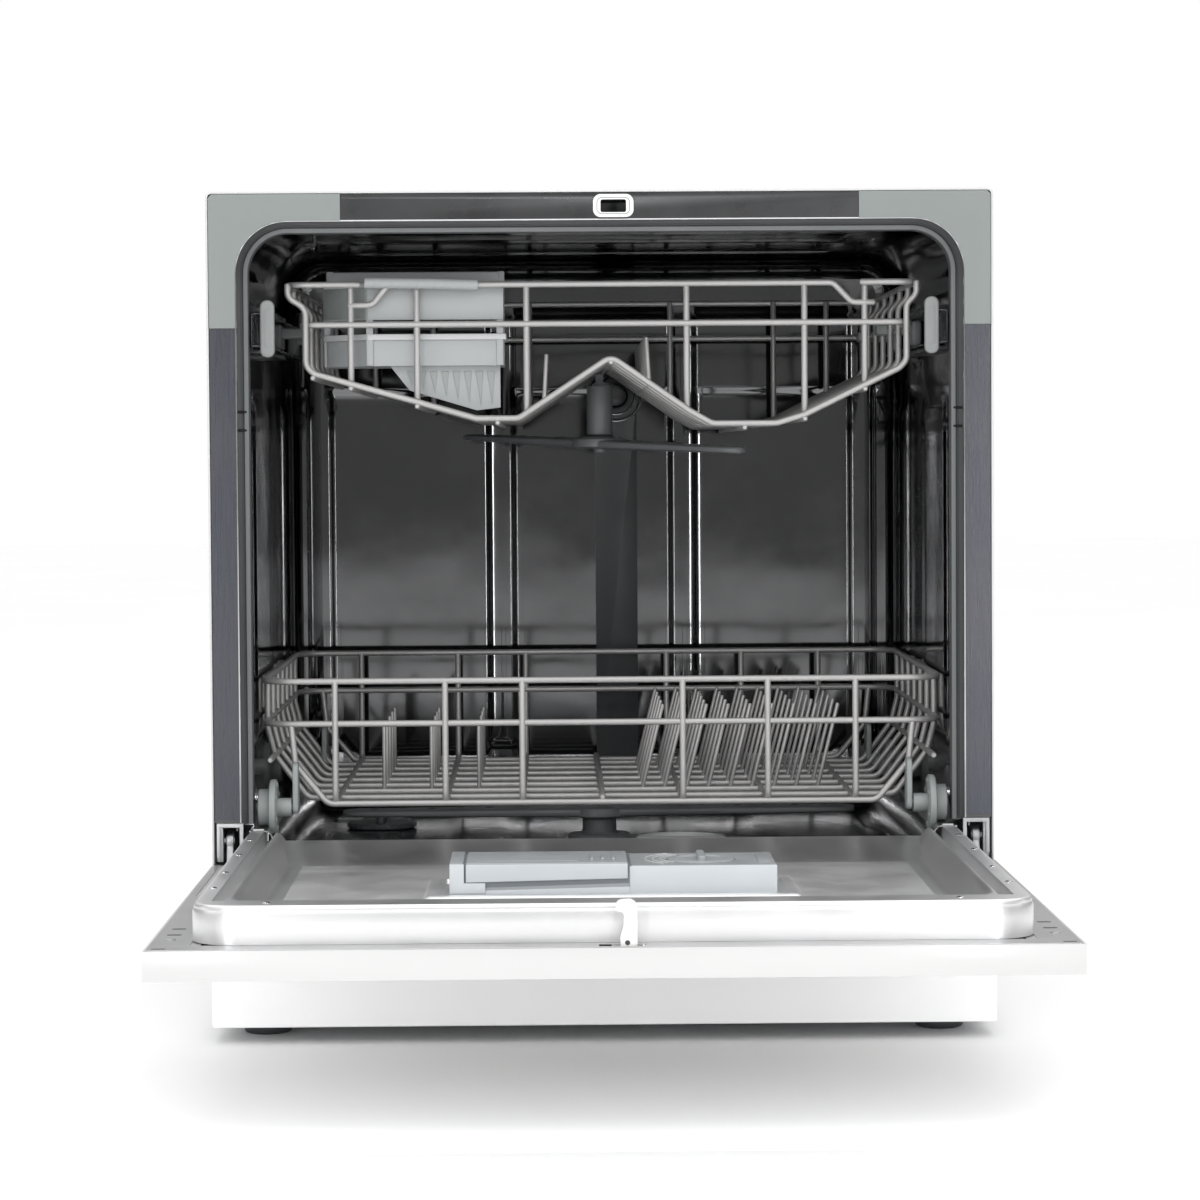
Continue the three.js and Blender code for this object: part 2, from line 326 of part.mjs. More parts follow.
// ================================================================= door (open)
{
  // painted tray: outer skin, folded rim, inner return flange, narrower kick lip below the pivot
  let p = cut(box(-HALF_W, HALF_W, TIP, -2, PANEL_LO, PANEL_HI),
    box(-HALF_W + SKIN, HALF_W - SKIN, TIP + SKIN, -3.5, PANEL_LO + SKIN, PANEL_HI - SKIN),
    box(-243, 243, -414, -6, 120, 130),
    box(-262.3, 262.3, -432.3, -351.7, 100, 110));
  p = join(p, box(-271.5, 271.5, -3, 43, PANEL_LO, PANEL_LO + 3));
  for (const s of [-1, 1]) p = cut(p, sbox(s, 258.5, 267.3, -8, 0, 109.2, 123));
  p = cut(p, box(-1, 17.5, -434.5, -426, 118, 126));
  add('door_outer_panel', p, WHITE, 0.35);

  const half = [[249, 124.3], [249, RIM], [237.8, RIM], [237.8, 139], [230.6, 139], [230.6, 146.5], [229.2, 146.5], [215, 129]];
  const low = [[216.2, 127.8], [224, 137.8], [239, 137.8], [239, RIM - SHEET], [247.8, RIM - SHEET], [247.8, 124.3]];
  const outline = [...half, ...half.map(([x, z]) => [-x, z]).reverse(), ...low.map(([x, z]) => [-x, z]).reverse(), ...low];
  let l = prismY(outline, -394, -1);
  const front = cut(box(-249, 249, -417.5, -392, 124.3, RIM), box(-247.8, 247.8, -416.3, -393.2, 120, RIM - SHEET));
  const ramp = prismX([[-57, 129], [-1, 141], [-1, 139.8], [-56.8, 127.8]], -231, 231);
  l = join(l, front, ramp);
  const mask = prismZ([...arc(249 - 19, -417.5 + 19, 19, -90, 0, 5), [249, 0], [-249, 0], ...arc(-249 + 19, -417.5 + 19, 19, 180, 270, 5)], 100, 160);
  l = l.intersect(mask);
  l = cut(l, box(-102.4, 107.4, -235.4, -163.6, 120, 135));
  add('door_liner', l, STEEL, 0.25, 0.95);

  for (const [s, n] of [[-1, 'left'], [1, 'right']]) {
    const X = s > 0 ? [260.5, 265.5] : [-265.5, -260.5];
    add('hinge_arm_' + n, cut(join(prismX([[6.5, 137], [19, 136], [12.5, 117], [1, 117]], ...X), cylX(7.5, ...X, PIV_Y, PIV_Z, 18), box(X[0], X[1], -155, 10, 110.4, 120)),
      cylX(3.8, X[0] - 2, X[1] + 2, PIV_Y, PIV_Z, 14)), 0x9a9da0, 0.4, 0.9);
  }

  // detergent and rinse-aid dispenser
  let d = box(-102, 107, -235, -164, 113, 148.5);
  d = cut(d, box(-88, 6, -226, -174, 118, 160), cylZ(22.4, 130, 160, 60, -200, 24));
  d = join(d, box(-102, -93, -235, -164, 148, 150.5));
  add('dispenser_body', d, BLUEGREY, 0.5);
  let lid = join(prismZ(roundRect(-91.5, 12, -230, -170.2, 5, 2), 148.9, 151), cylX(1.8, -90, 10, -170.5, 150.6, 8));
  for (const x of [-11, -4, 3]) lid = join(lid, box(x - 1.2, x + 1.2, -224, -202, 150.8, 152.4));
  add('dispenser_lid', lid, BLUEGREY, 0.5);
  add('rinse_aid_cap', join(cylZ(22, 143, 149.5, 60, -200, 24), cylZ(13, 132, 143.5, 60, -200, 16), box(57.6, 62.4, -219, -181, 149, 152.6)), BLUEGREY, 0.5);
  add('latch_hook', prismY([[2.5, 113], [13.4, 113], [13.4, 150], [11.4, 152], [4.5, 152], [0.9, 148.5], [0.9, 145], [6.5, 142.5], [6.5, 126], [2.5, 126]], -433, -428), WHITE, 0.4);

  // fascia with a finger recess, display window and push buttons
  let f = box(-262, 262, -432, -352, 106, 109);
  f = join(f, box(-71.5, 71.5, -406.5, -370.5, 106.5, 122));
  f = cut(f, box(-70, 70, -405, -372, 100, 120.5), box(109.7, 160.3, -402.3, -381.7, 100, 112));
  for (const x of [-225, 190, 225]) f = cut(f, cylZ(8.4, 100, 115, x, -392, 18));
  add('control_fascia', f, 0xe4e6e6, 0.35);
  add('display_window', box(110, 160, -402, -382, 106.2, 108.4), BLACK, 0.15);
  add('power_button', cylZ(8, 105.3, 110.4, -225, -392, 18), PALE, 0.4);
  add('program_button', cylZ(8, 105.3, 110.4, 190, -392, 18), PALE, 0.4);
  add('start_button', cylZ(8, 105.3, 110.4, 225, -392, 18), PALE, 0.4);
}

export default part;
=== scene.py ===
"""Compact dishwasher with its door let down: the looks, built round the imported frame."""
import json
import math

import bmesh
import bpy
import numpy as np
from mathutils import Matrix, Vector

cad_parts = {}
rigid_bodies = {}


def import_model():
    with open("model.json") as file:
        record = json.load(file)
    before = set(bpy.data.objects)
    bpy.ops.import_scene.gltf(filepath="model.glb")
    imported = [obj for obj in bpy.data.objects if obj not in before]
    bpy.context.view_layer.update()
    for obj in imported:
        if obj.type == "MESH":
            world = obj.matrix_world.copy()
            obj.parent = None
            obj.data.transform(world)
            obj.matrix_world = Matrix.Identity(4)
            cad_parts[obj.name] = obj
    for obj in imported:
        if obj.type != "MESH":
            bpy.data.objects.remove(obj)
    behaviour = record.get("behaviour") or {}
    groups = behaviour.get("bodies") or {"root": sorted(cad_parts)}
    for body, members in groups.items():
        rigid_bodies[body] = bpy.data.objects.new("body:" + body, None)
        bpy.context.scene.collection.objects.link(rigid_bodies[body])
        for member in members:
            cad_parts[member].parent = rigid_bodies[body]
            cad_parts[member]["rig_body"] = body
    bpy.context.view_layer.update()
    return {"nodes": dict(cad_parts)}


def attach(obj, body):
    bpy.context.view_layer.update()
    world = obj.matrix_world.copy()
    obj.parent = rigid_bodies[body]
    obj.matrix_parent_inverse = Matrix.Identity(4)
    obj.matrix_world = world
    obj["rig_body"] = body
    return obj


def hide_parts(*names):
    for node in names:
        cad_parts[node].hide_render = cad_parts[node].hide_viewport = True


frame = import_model()
SHIFT = -22.0            # mm: cabinet front plane to the frame's origin
scene = bpy.context.scene


# ------------------------------------------------------------------ camera
def make_camera():
    yaw, pitch, roll = (math.radians(a) for a in (-0.772, -2.357, -0.376))
    cw, sw, cp, sp = math.cos(yaw), math.sin(yaw), math.cos(pitch), math.sin(pitch)

    def world(x, y, z):
        yw, zw = y * cp - z * sp, y * sp + z * cp
        return Vector((x * cw - yw * sw, x * sw + yw * cw, zw))
    cr, sr = math.cos(roll), math.sin(roll)
    right, up, fwd = world(cr, 0, sr), world(-sr, 0, cr), world(0, 1, 0)
    m = Matrix((right, up, -fwd)).transposed().to_4x4()
    m.translation = Vector((-35.5, -2519.5 + SHIFT, 412.2)) / 1000
    cam = bpy.data.cameras.new("camera")
    cam.sensor_width = 36
    cam.lens = 3596.8 / 1200 * 36
    cam.clip_start, cam.clip_end = 0.05, 50
    ob = bpy.data.objects.new("camera", cam)
    scene.collection.objects.link(ob)
    ob.matrix_world = m
    scene.camera = ob
    bpy.context.scene.camera = ob


make_camera()


# ------------------------------------------------------------------ mesh tools
class Mesh:
    """Closed pieces gathered in millimetres, in the cabinet's own frame."""

    def __init__(self):
        self.v, self.f, self.n, self.m = [], [], 0, []

    def add(self, verts, faces, mat=0):
        verts = np.asarray(verts, float).reshape(-1, 3)
        self.v.append(verts)
        self.f += [tuple(i + self.n for i in f) for f in faces]
        self.m += [mat] * len(faces)
        self.n += len(verts)
        return self

    def bm(self, b, mat=0):
        b.verts.ensure_lookup_table()
        b.verts.index_update()
        self.add([v.co[:] for v in b.verts], [[v.index for v in f.verts] for f in b.faces], mat)
        b.free()
        return self

    def make(self, name, mats, body, *nodes, sharp=35.0, slot=None, subd=0):
        co = np.concatenate(self.v)
        co = (co + [0, SHIFT, 0]) / 1000.0
        me = bpy.data.meshes.new(name)
        me.from_pydata(co.tolist(), [], self.f)
        me.validate()
        b = bmesh.new()
        b.from_mesh(me)
        bmesh.ops.recalc_face_normals(b, faces=b.faces)
        b.to_mesh(me)
        b.free()
        mats = mats if isinstance(mats, (list, tuple)) else [mats]
        for m in mats:
            me.materials.append(m)
        if len(mats) > 1 and len(self.m) == len(me.polygons):
            me.polygons.foreach_set("material_index", self.m)
        me.shade_smooth()
        me.set_sharp_from_angle(angle=math.radians(sharp))
        ob = bpy.data.objects.new(name, me)
        scene.collection.objects.link(ob)
        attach(ob, body)
        if nodes:
            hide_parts(*nodes)
        return ob


def fillet(pts, r, steps=5, closed=False):
    """Polyline with its corners rounded to radius r (mm)."""
    P = [np.array(p, float) for p in pts]
    n = len(P)
    out = []
    for i in range(n):
        if not closed and i in (0, n - 1):
            out.append(P[i])
            continue
        a, p, b = P[i - 1], P[i], P[(i + 1) % n]
        u, w = a - p, b - p
        lu, lw = np.linalg.norm(u), np.linalg.norm(w)
        u, w = u / lu, w / lw
        c = float(np.clip(np.dot(u, w), -1, 1))
        ang = math.acos(c)
        if ang > math.radians(176):
            out.append(p)
            continue
        t = min(r / math.tan(ang / 2), lu * 0.48, lw * 0.48)
        rr = t * math.tan(ang / 2)
        bis = (u + w) / np.linalg.norm(u + w)
        cen = p + bis * rr / math.sin(ang / 2)
        s, e = p + u * t - cen, p + w * t - cen
        th = math.pi - ang
        for k in range(steps + 1):
            f = k / steps
            out.append(cen + (math.sin((1 - f) * th) * s + math.sin(f * th) * e) / math.sin(th))
    return out


def sweep(path, section, closed=False, up=None, cap=True):
    """Sweeps a closed 2-D section [(u, v)...] along a path, with minimal twist."""
    P = np.array(path, float)
    n = len(P)
    T = np.zeros_like(P)
    for i in range(n):
        if closed:
            d1, d2 = P[i] - P[i - 1], P[(i + 1) % n] - P[i]
        else:
            d1 = P[i] - P[i - 1] if i > 0 else P[1] - P[0]
            d2 = P[i + 1] - P[i] if i < n - 1 else P[-1] - P[-2]
        d = d1 / np.linalg.norm(d1) + d2 / np.linalg.norm(d2)
        T[i] = d / np.linalg.norm(d)
    if up is None:
        a = np.array([0, 0, 1.0]) if abs(T[0][2]) < 0.9 else np.array([1.0, 0, 0])
    else:
        a = np.array(up, float)
    sec = np.array(section, float)
    m = len(sec)
    verts = []
    U = None
    for i in range(n):
        if up is not None:
            U = a - T[i] * np.dot(a, T[i])
        elif U is None:
            U = a - T[i] * np.dot(a, T[i])
        else:
            U = U - T[i] * np.dot(U, T[i])
        U = U / np.linalg.norm(U)
        V = np.cross(T[i], U)
        # widen at corners so the section keeps its size
        if closed:
            d1 = P[i] - P[i - 1]
        else:
            d1 = P[i] - P[i - 1] if i > 0 else T[i]
        k = 1 / max(0.6, float(np.dot(d1 / np.linalg.norm(d1), T[i])))
        k = 1 + (k - 1) * 0.5
        verts.append(P[i] + np.outer(sec[:, 0] * k, U) + np.outer(sec[:, 1] * k, V))
    V = np.concatenate(verts)
    faces = []
    last = n if closed else n - 1
    for i in range(last):
        a0, b0 = i * m, ((i + 1) % n) * m
        for j in range(m):
            k = (j + 1) % m
            faces.append((a0 + j, a0 + k, b0 + k, b0 + j))
    if cap and not closed:
        faces.append(tuple(range(m - 1, -1, -1)))
        faces.append(tuple((n - 1) * m + j for j in range(m)))
    return V, faces


def circle(r, n=10):
    return [(r * math.cos(2 * math.pi * k / n), r * math.sin(2 * math.pi * k / n)) for k in range(n)]


def wire(M, pts, r=2.2, bend=6, n=10, closed=False, steps=4, mat=0, dome=True):
    """A round wire with softly domed ends."""
    path = fillet(pts, bend, steps, closed)
    if closed or not dome:
        V, F = sweep(path, circle(r, n), closed)
        M.add(V, F, mat)
        return
    P = [np.array(p, float) for p in path]
    V, F = sweep(P, circle(r, n), False, cap=False)
    # domes
    def ring(center, d, ref, k):
        c = V[ref:ref + n]
        mid = c.mean(0)
        return center + (c - mid) * k
    base = len(V)
    d0 = (P[0] - P[1]) / np.linalg.norm(P[0] - P[1])
    d1 = (P[-1] - P[-2]) / np.linalg.norm(P[-1] - P[-2])
    L = (len(P) - 1) * n
    r0, r1 = ring(P[0] + d0 * r * 0.45, d0, 0, 0.62), ring(P[-1] + d1 * r * 0.45, d1, L, 0.62)
    V = np.concatenate([V, r0, r1])
    for j in range(n):
        k = (j + 1) % n
        F.append((k, j, base + j, base + k))
        F.append((L + j, L + k, base + n + k, base + n + j))
    F.append(tuple(base + n - 1 - j for j in range(n))[::-1])
    F.append(tuple(base + n + j for j in range(n)))
    M.add(V, F, mat)


def rbox(M, x0, x1, y0, y1, z0, z1, bev=1.0, seg=3, mat=0, rot=None, at=None):
    b = bmesh.new()
    bmesh.ops.create_cube(b, size=1.0)
    for v in b.verts:
        v.co = Vector(((x0 + x1) / 2 + v.co.x * (x1 - x0), (y0 + y1) / 2 + v.co.y * (y1 - y0), (z0 + z1) / 2 + v.co.z * (z1 - z0)))
    if bev > 0:
        bev = min(bev, 0.49 * min(x1 - x0, y1 - y0, z1 - z0))
        bmesh.ops.bevel(b, geom=list(b.edges), offset=bev, segments=seg, profile=0.5, affect='EDGES')
    if rot is not None:
        bmesh.ops.transform(b, matrix=Matrix.Translation(at) @ rot @ Matrix.Translation(-Vector(at)), verts=b.verts)
    M.bm(b, mat)


def prism(M, outline, lo, hi, axis="z", bev=0.8, seg=3, mat=0, holes=(), angle=25, xform=None):
    """An outline raised along an axis, its rims bevelled. Outline pairs: z->(x,y), y->(x,z), x->(y,z)."""
    b = bmesh.new()

    def pt(a, c, h):
        return {"z": (a, c, h), "y": (a, h, c), "x": (h, a, c)}[axis]
    loops = [list(outline)] + [list(h) for h in holes]
    edges = []
    for lp in loops:
        vs = [b.verts.new(pt(a, c, lo)) for a, c in lp]
        edges += [b.edges.new((vs[i], vs[(i + 1) % len(vs)])) for i in range(len(vs))]
    if holes:
        bmesh.ops.triangle_fill(b, use_beauty=True, use_dissolve=False, edges=edges)
        bmesh.ops.dissolve_limit(b, angle_limit=0.01, verts=b.verts, edges=b.edges)
    else:
        b.faces.new(b.verts)
    g = bmesh.ops.extrude_face_region(b, geom=list(b.faces))
    d = pt(0, 0, hi - lo)
    bmesh.ops.translate(b, vec=d, verts=[v for v in g["geom"] if isinstance(v, bmesh.types.BMVert)])
    bmesh.ops.recalc_face_normals(b, faces=b.faces)
    if bev > 0:
        es = [e for e in b.edges if len(e.link_faces) == 2 and e.calc_face_angle(0) > math.radians(angle)]
        bmesh.ops.bevel(b, geom=es, offset=bev, segments=seg, profile=0.5, affect='EDGES', clamp_overlap=True)
    if xform is not None:
        bmesh.ops.transform(b, matrix=xform, verts=b.verts)
    M.bm(b, mat)


def lathe(M, prof, axis="z", at=(0, 0, 0), n=48, mat=0):
    """Turns a closed (r, h) profile round an axis through `at`."""
    V, idx = [], []
    at = np.array(at, float)

    def pt(r, a, h):
        c, s = r * math.cos(a), r * math.sin(a)
        return at + {"z": (c, s, h), "x": (h, c, s), "y": (s, h, c)}[axis]
    for r, h in prof:
        if r < 1e-6:
            idx.append([len(V)])
            V.append(pt(0, 0, h))
        else:
            idx.append(list(range(len(V), len(V) + n)))
            V += [pt(r, 2 * math.pi * k / n, h) for k in range(n)]
    F = []
    closed = len(prof)
    for i in range(closed):
        A, B = idx[i], idx[(i + 1) % closed]
        if len(A) == 1 and len(B) == 1:
            continue
        for k in range(n):
            k2 = (k + 1) % n
            if len(A) == 1:
                F.append((A[0], B[k], B[k2]))
            elif len(B) == 1:
                F.append((A[k], A[k2], B[0]))
            else:
                F.append((A[k], A[k2], B[k2], B[k]))
    M.add(V, F, mat)


def arc(cx, cy, r, a0, a1, n):
    return [(cx + r * math.cos(math.radians(a0 + (a1 - a0) * i / n)), cy + r * math.sin(math.radians(a0 + (a1 - a0) * i / n))) for i in range(n + 1)]


def rrect(x0, x1, y0, y1, r, n=6):
    r = min(r, 0.499 * (x1 - x0), 0.499 * (y1 - y0))
    return arc(x1 - r, y0 + r, r, -90, 0, n) + arc(x1 - r, y1 - r, r, 0, 90, n) + arc(x0 + r, y1 - r, r, 90, 180, n) + arc(x0 + r, y0 + r, r, 180, 270, n)


def arch(hx, bottom, top, r, n=14):
    """Open path up one side, over the top and down the other, in (x, z)."""
    return [(-hx, bottom)] + arc(-hx + r, top - r, r, 180, 90, n) + arc(hx - r, top - r, r, 90, 0, n) + [(hx, bottom)]


def refine(node, mat, bev=0.6, seg=2, angle=30, name=None):
    """A node's own shape with its edges eased."""
    src = frame["nodes"][node]
    b = bmesh.new()
    b.from_mesh(src.data)
    bmesh.ops.remove_doubles(b, verts=b.verts, dist=2e-6)
    bmesh.ops.dissolve_limit(b, angle_limit=math.radians(1.0), verts=b.verts, edges=b.edges)
    es = [e for e in b.edges if len(e.link_faces) == 2 and e.calc_face_angle(0) > math.radians(angle)]
    bmesh.ops.bevel(b, geom=es, offset=bev / 1000, segments=seg, profile=0.5, affect='EDGES', clamp_overlap=True)
    bmesh.ops.remove_doubles(b, verts=b.verts, dist=1e-6)
    bmesh.ops.recalc_face_normals(b, faces=b.faces)
    me = bpy.data.meshes.new(name or node + "_skin")
    b.to_mesh(me)
    b.free()
    me.materials.clear()
    me.materials.append(mat)
    me.polygons.foreach_set("material_index", [0] * len(me.polygons))
    me.shade_smooth()
    me.set_sharp_from_angle(angle=math.radians(32))
    ob = bpy.data.objects.new(name or node + "_skin", me)
    scene.collection.objects.link(ob)
    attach(ob, src["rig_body"])
    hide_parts(node)
    return ob


# ------------------------------------------------------------------ materials
class Mat:
    def __init__(self, name):
        self.m = bpy.data.materials.new(name)
        self.m.use_nodes = True
        self.t = self.m.node_tree
        self.b = self.t.nodes["Principled BSDF"]
        self.co = self.t.nodes.new("ShaderNodeTexCoord")

    def set(self, **k):
        for key, v in k.items():
            self.b.inputs[key.replace("_", " ")].default_value = v
        return self

    def node(self, kind, **k):
        n = self.t.nodes.new(kind)
        for a, v in k.items():
            setattr(n, a, v)
        return n

    def mapped(self, scale):
        mp = self.node("ShaderNodeMapping")
        mp.inputs["Scale"].default_value = scale
        self.t.links.new(self.co.outputs["Object"], mp.inputs["Vector"])
        return mp.outputs["Vector"]

    def noise(self, scale, detail=3.0, rough=0.5, stretch=(1, 1, 1)):
        n = self.node("ShaderNodeTexNoise")
        n.inputs["Scale"].default_value = scale
        n.inputs["Detail"].default_value = detail
        n.inputs["Roughness"].default_value = rough
        self.t.links.new(self.mapped(stretch), n.inputs["Vector"])
        return n.outputs["Fac"]

    def ramp(self, fac, lo, hi, p0=0.3, p1=0.7):
        r = self.node("ShaderNodeMapRange")
        r.inputs["From Min"].default_value = p0
        r.inputs["From Max"].default_value = p1
        r.inputs["To Min"].default_value = lo
        r.inputs["To Max"].default_value = hi
        self.t.links.new(fac, r.inputs["Value"])
        return r.outputs["Result"]

    def mix(self, fac, a, b):
        n = self.node("ShaderNodeMix", data_type="RGBA")
        self.t.links.new(fac, n.inputs["Factor"])
        n.inputs["A"].default_value = (*a, 1)
        n.inputs["B"].default_value = (*b, 1)
        return n.outputs["Result"]

    def colour(self, fac, a, b):
        self.t.links.new(self.mix(fac, a, b), self.b.inputs["Base Color"])
        return self

    def rough(self, fac, lo, hi):
        self.t.links.new(self.ramp(fac, lo, hi), self.b.inputs["Roughness"])
        return self

    def bump(self, *layers):
        prev = None
        for fac, strength, dist in layers:
            n = self.node("ShaderNodeBump")
            n.inputs["Strength"].default_value = strength
            n.inputs["Distance"].default_value = dist
            self.t.links.new(fac, n.inputs["Height"])
            if prev is not None:
                self.t.links.new(prev, n.inputs["Normal"])
            prev = n.outputs["Normal"]
        self.t.links.new(prev, self.b.inputs["Normal"])
        return self


def steel(name, lo, hi, r0, r1, brush=(1, 60, 60), bstr=0.06, wave=0.0, dist=0.0004):
    m = Mat(name)
    m.set(Metallic=1.0)
    n1 = m.noise(9, 4, 0.55)
    n2 = m.noise(22, 4, 0.6, brush)
    m.colour(n1, lo, hi)
    m.rough(n2, r0, r1)
    layers = [(n2, bstr, dist)]
    if wave:
        layers.insert(0, (m.noise(7, 2, 0.4), wave, 0.004))
        if wave > 0.2:
            layers.insert(0, (m.noise(24, 1, 0.3), 0.06, 0.0012))
    m.bump(*layers)
    return m.m


def plastic(name, a, b, r0=0.35, r1=0.5, grain=900, gstr=0.08, spec=0.5):
    m = Mat(name)
    m.b.inputs["Specular IOR Level"].default_value = spec
    n = m.noise(14, 3, 0.5)
    g = m.noise(grain, 2, 0.6)
    m.colour(n, a, b)
    m.rough(m.noise(40, 3, 0.6), r0, r1)
    m.bump((g, gstr, 0.0003))
    return m.m


def paint(name, a, b):
    m = Mat(name)
    m.b.inputs["Coat Weight"].default_value = 0.35
    m.b.inputs["Coat Roughness"].default_value = 0.12
    m.colour(m.noise(6, 3, 0.5), a, b)
    m.rough(m.noise(12, 2, 0.4), 0.28, 0.34)
    m.bump((m.noise(700, 1, 0.4), 0.025, 0.0002), (m.noise(12, 1, 0.3), 0.03, 0.002))
    return m.m


MAT = {
    "paint": paint("white_paint", (0.58, 0.58, 0.578), (0.61, 0.61, 0.608)),
    # tub walls: steel far darker than real stainless, a painted dark reflection of the unlit room in front
    "tub": steel("tub_steel_painted_dark_reflection", (0.11, 0.111, 0.113), (0.16, 0.161, 0.165), 0.05, 0.10, (1, 1, 1), 0.02, 0.21),
    "liner": steel("liner_steel", (0.80, 0.80, 0.805), (0.86, 0.86, 0.865), 0.32, 0.40, (1, 1, 1), 0.02, 0.02),
    # front frame steel far darker than real stainless: a painted dark reflection of the surroundings
    "flange": steel("frame_steel_painted_dark_reflection", (0.08, 0.081, 0.084), (0.12, 0.121, 0.123), 0.24, 0.34, (1, 1, 1), 0.03),
    "galv": steel("galvanised", (0.42, 0.43, 0.44), (0.60, 0.61, 0.62), 0.32, 0.52, (1, 1, 1), 0.05),
    "wire": steel("rack_wire", (0.42, 0.415, 0.41), (0.52, 0.515, 0.51), 0.42, 0.54, (30, 30, 30), 0.04),
    "chrome": steel("chrome", (0.62, 0.62, 0.63), (0.72, 0.72, 0.73), 0.07, 0.14, (1, 1, 1), 0.02),
    "grey": plastic("grey_plastic", (0.27, 0.295, 0.29), (0.31, 0.335, 0.33), 0.38, 0.5),
    "armgrey": plastic("arm_plastic", (0.10, 0.107, 0.11), (0.135, 0.142, 0.146), 0.32, 0.42),
    "blue": plastic("dispenser_plastic", (0.54, 0.575, 0.60), (0.58, 0.615, 0.64), 0.30, 0.42, 700, 0.06),
    # dark plates for the gaps round the dispenser lid: painted shade
    "blue_gap_painted_shade": plastic("dispenser_gap_painted_shade", (0.16, 0.18, 0.19), (0.20, 0.22, 0.23), 0.4, 0.5),
    "pale": plastic("pale_plastic", (0.46, 0.475, 0.475), (0.52, 0.535, 0.535), 0.36, 0.48),
    "white": plastic("white_plastic", (0.80, 0.80, 0.79), (0.84, 0.84, 0.83), 0.22, 0.32, 500, 0.04),
    "fascia": plastic("fascia_plastic", (0.70, 0.71, 0.715), (0.74, 0.75, 0.755), 0.25, 0.36, 600, 0.05),
    "dark": plastic("dark_plastic", (0.028, 0.03, 0.032), (0.045, 0.048, 0.05), 0.35, 0.5),
    "black": plastic("black_gloss", (0.008, 0.008, 0.009), (0.012, 0.012, 0.014), 0.08, 0.12, 300, 0.01),
    "rubber": plastic("gasket_rubber", (0.085, 0.09, 0.092), (0.12, 0.125, 0.128), 0.55, 0.68, 700, 0.12, 0.35),
    # lighter lip strip of the same gasket rubber: a painted lit band
    "rubber_lip_painted_light": plastic("gasket_lip_painted_light", (0.20, 0.21, 0.212), (0.25, 0.26, 0.262), 0.5, 0.62, 700, 0.12, 0.35),
    "brub": plastic("black_rubber", (0.012, 0.012, 0.012), (0.02, 0.02, 0.02), 0.6, 0.75, 600, 0.2, 0.3),
    "salt": plastic("salt_cap_plastic", (0.05, 0.055, 0.06), (0.07, 0.075, 0.08), 0.3, 0.42),
}


# ------------------------------------------------------------------ cabinet
def mirror_pts(pts, s):
    return [(s * p[0], *p[1:]) for p in pts]


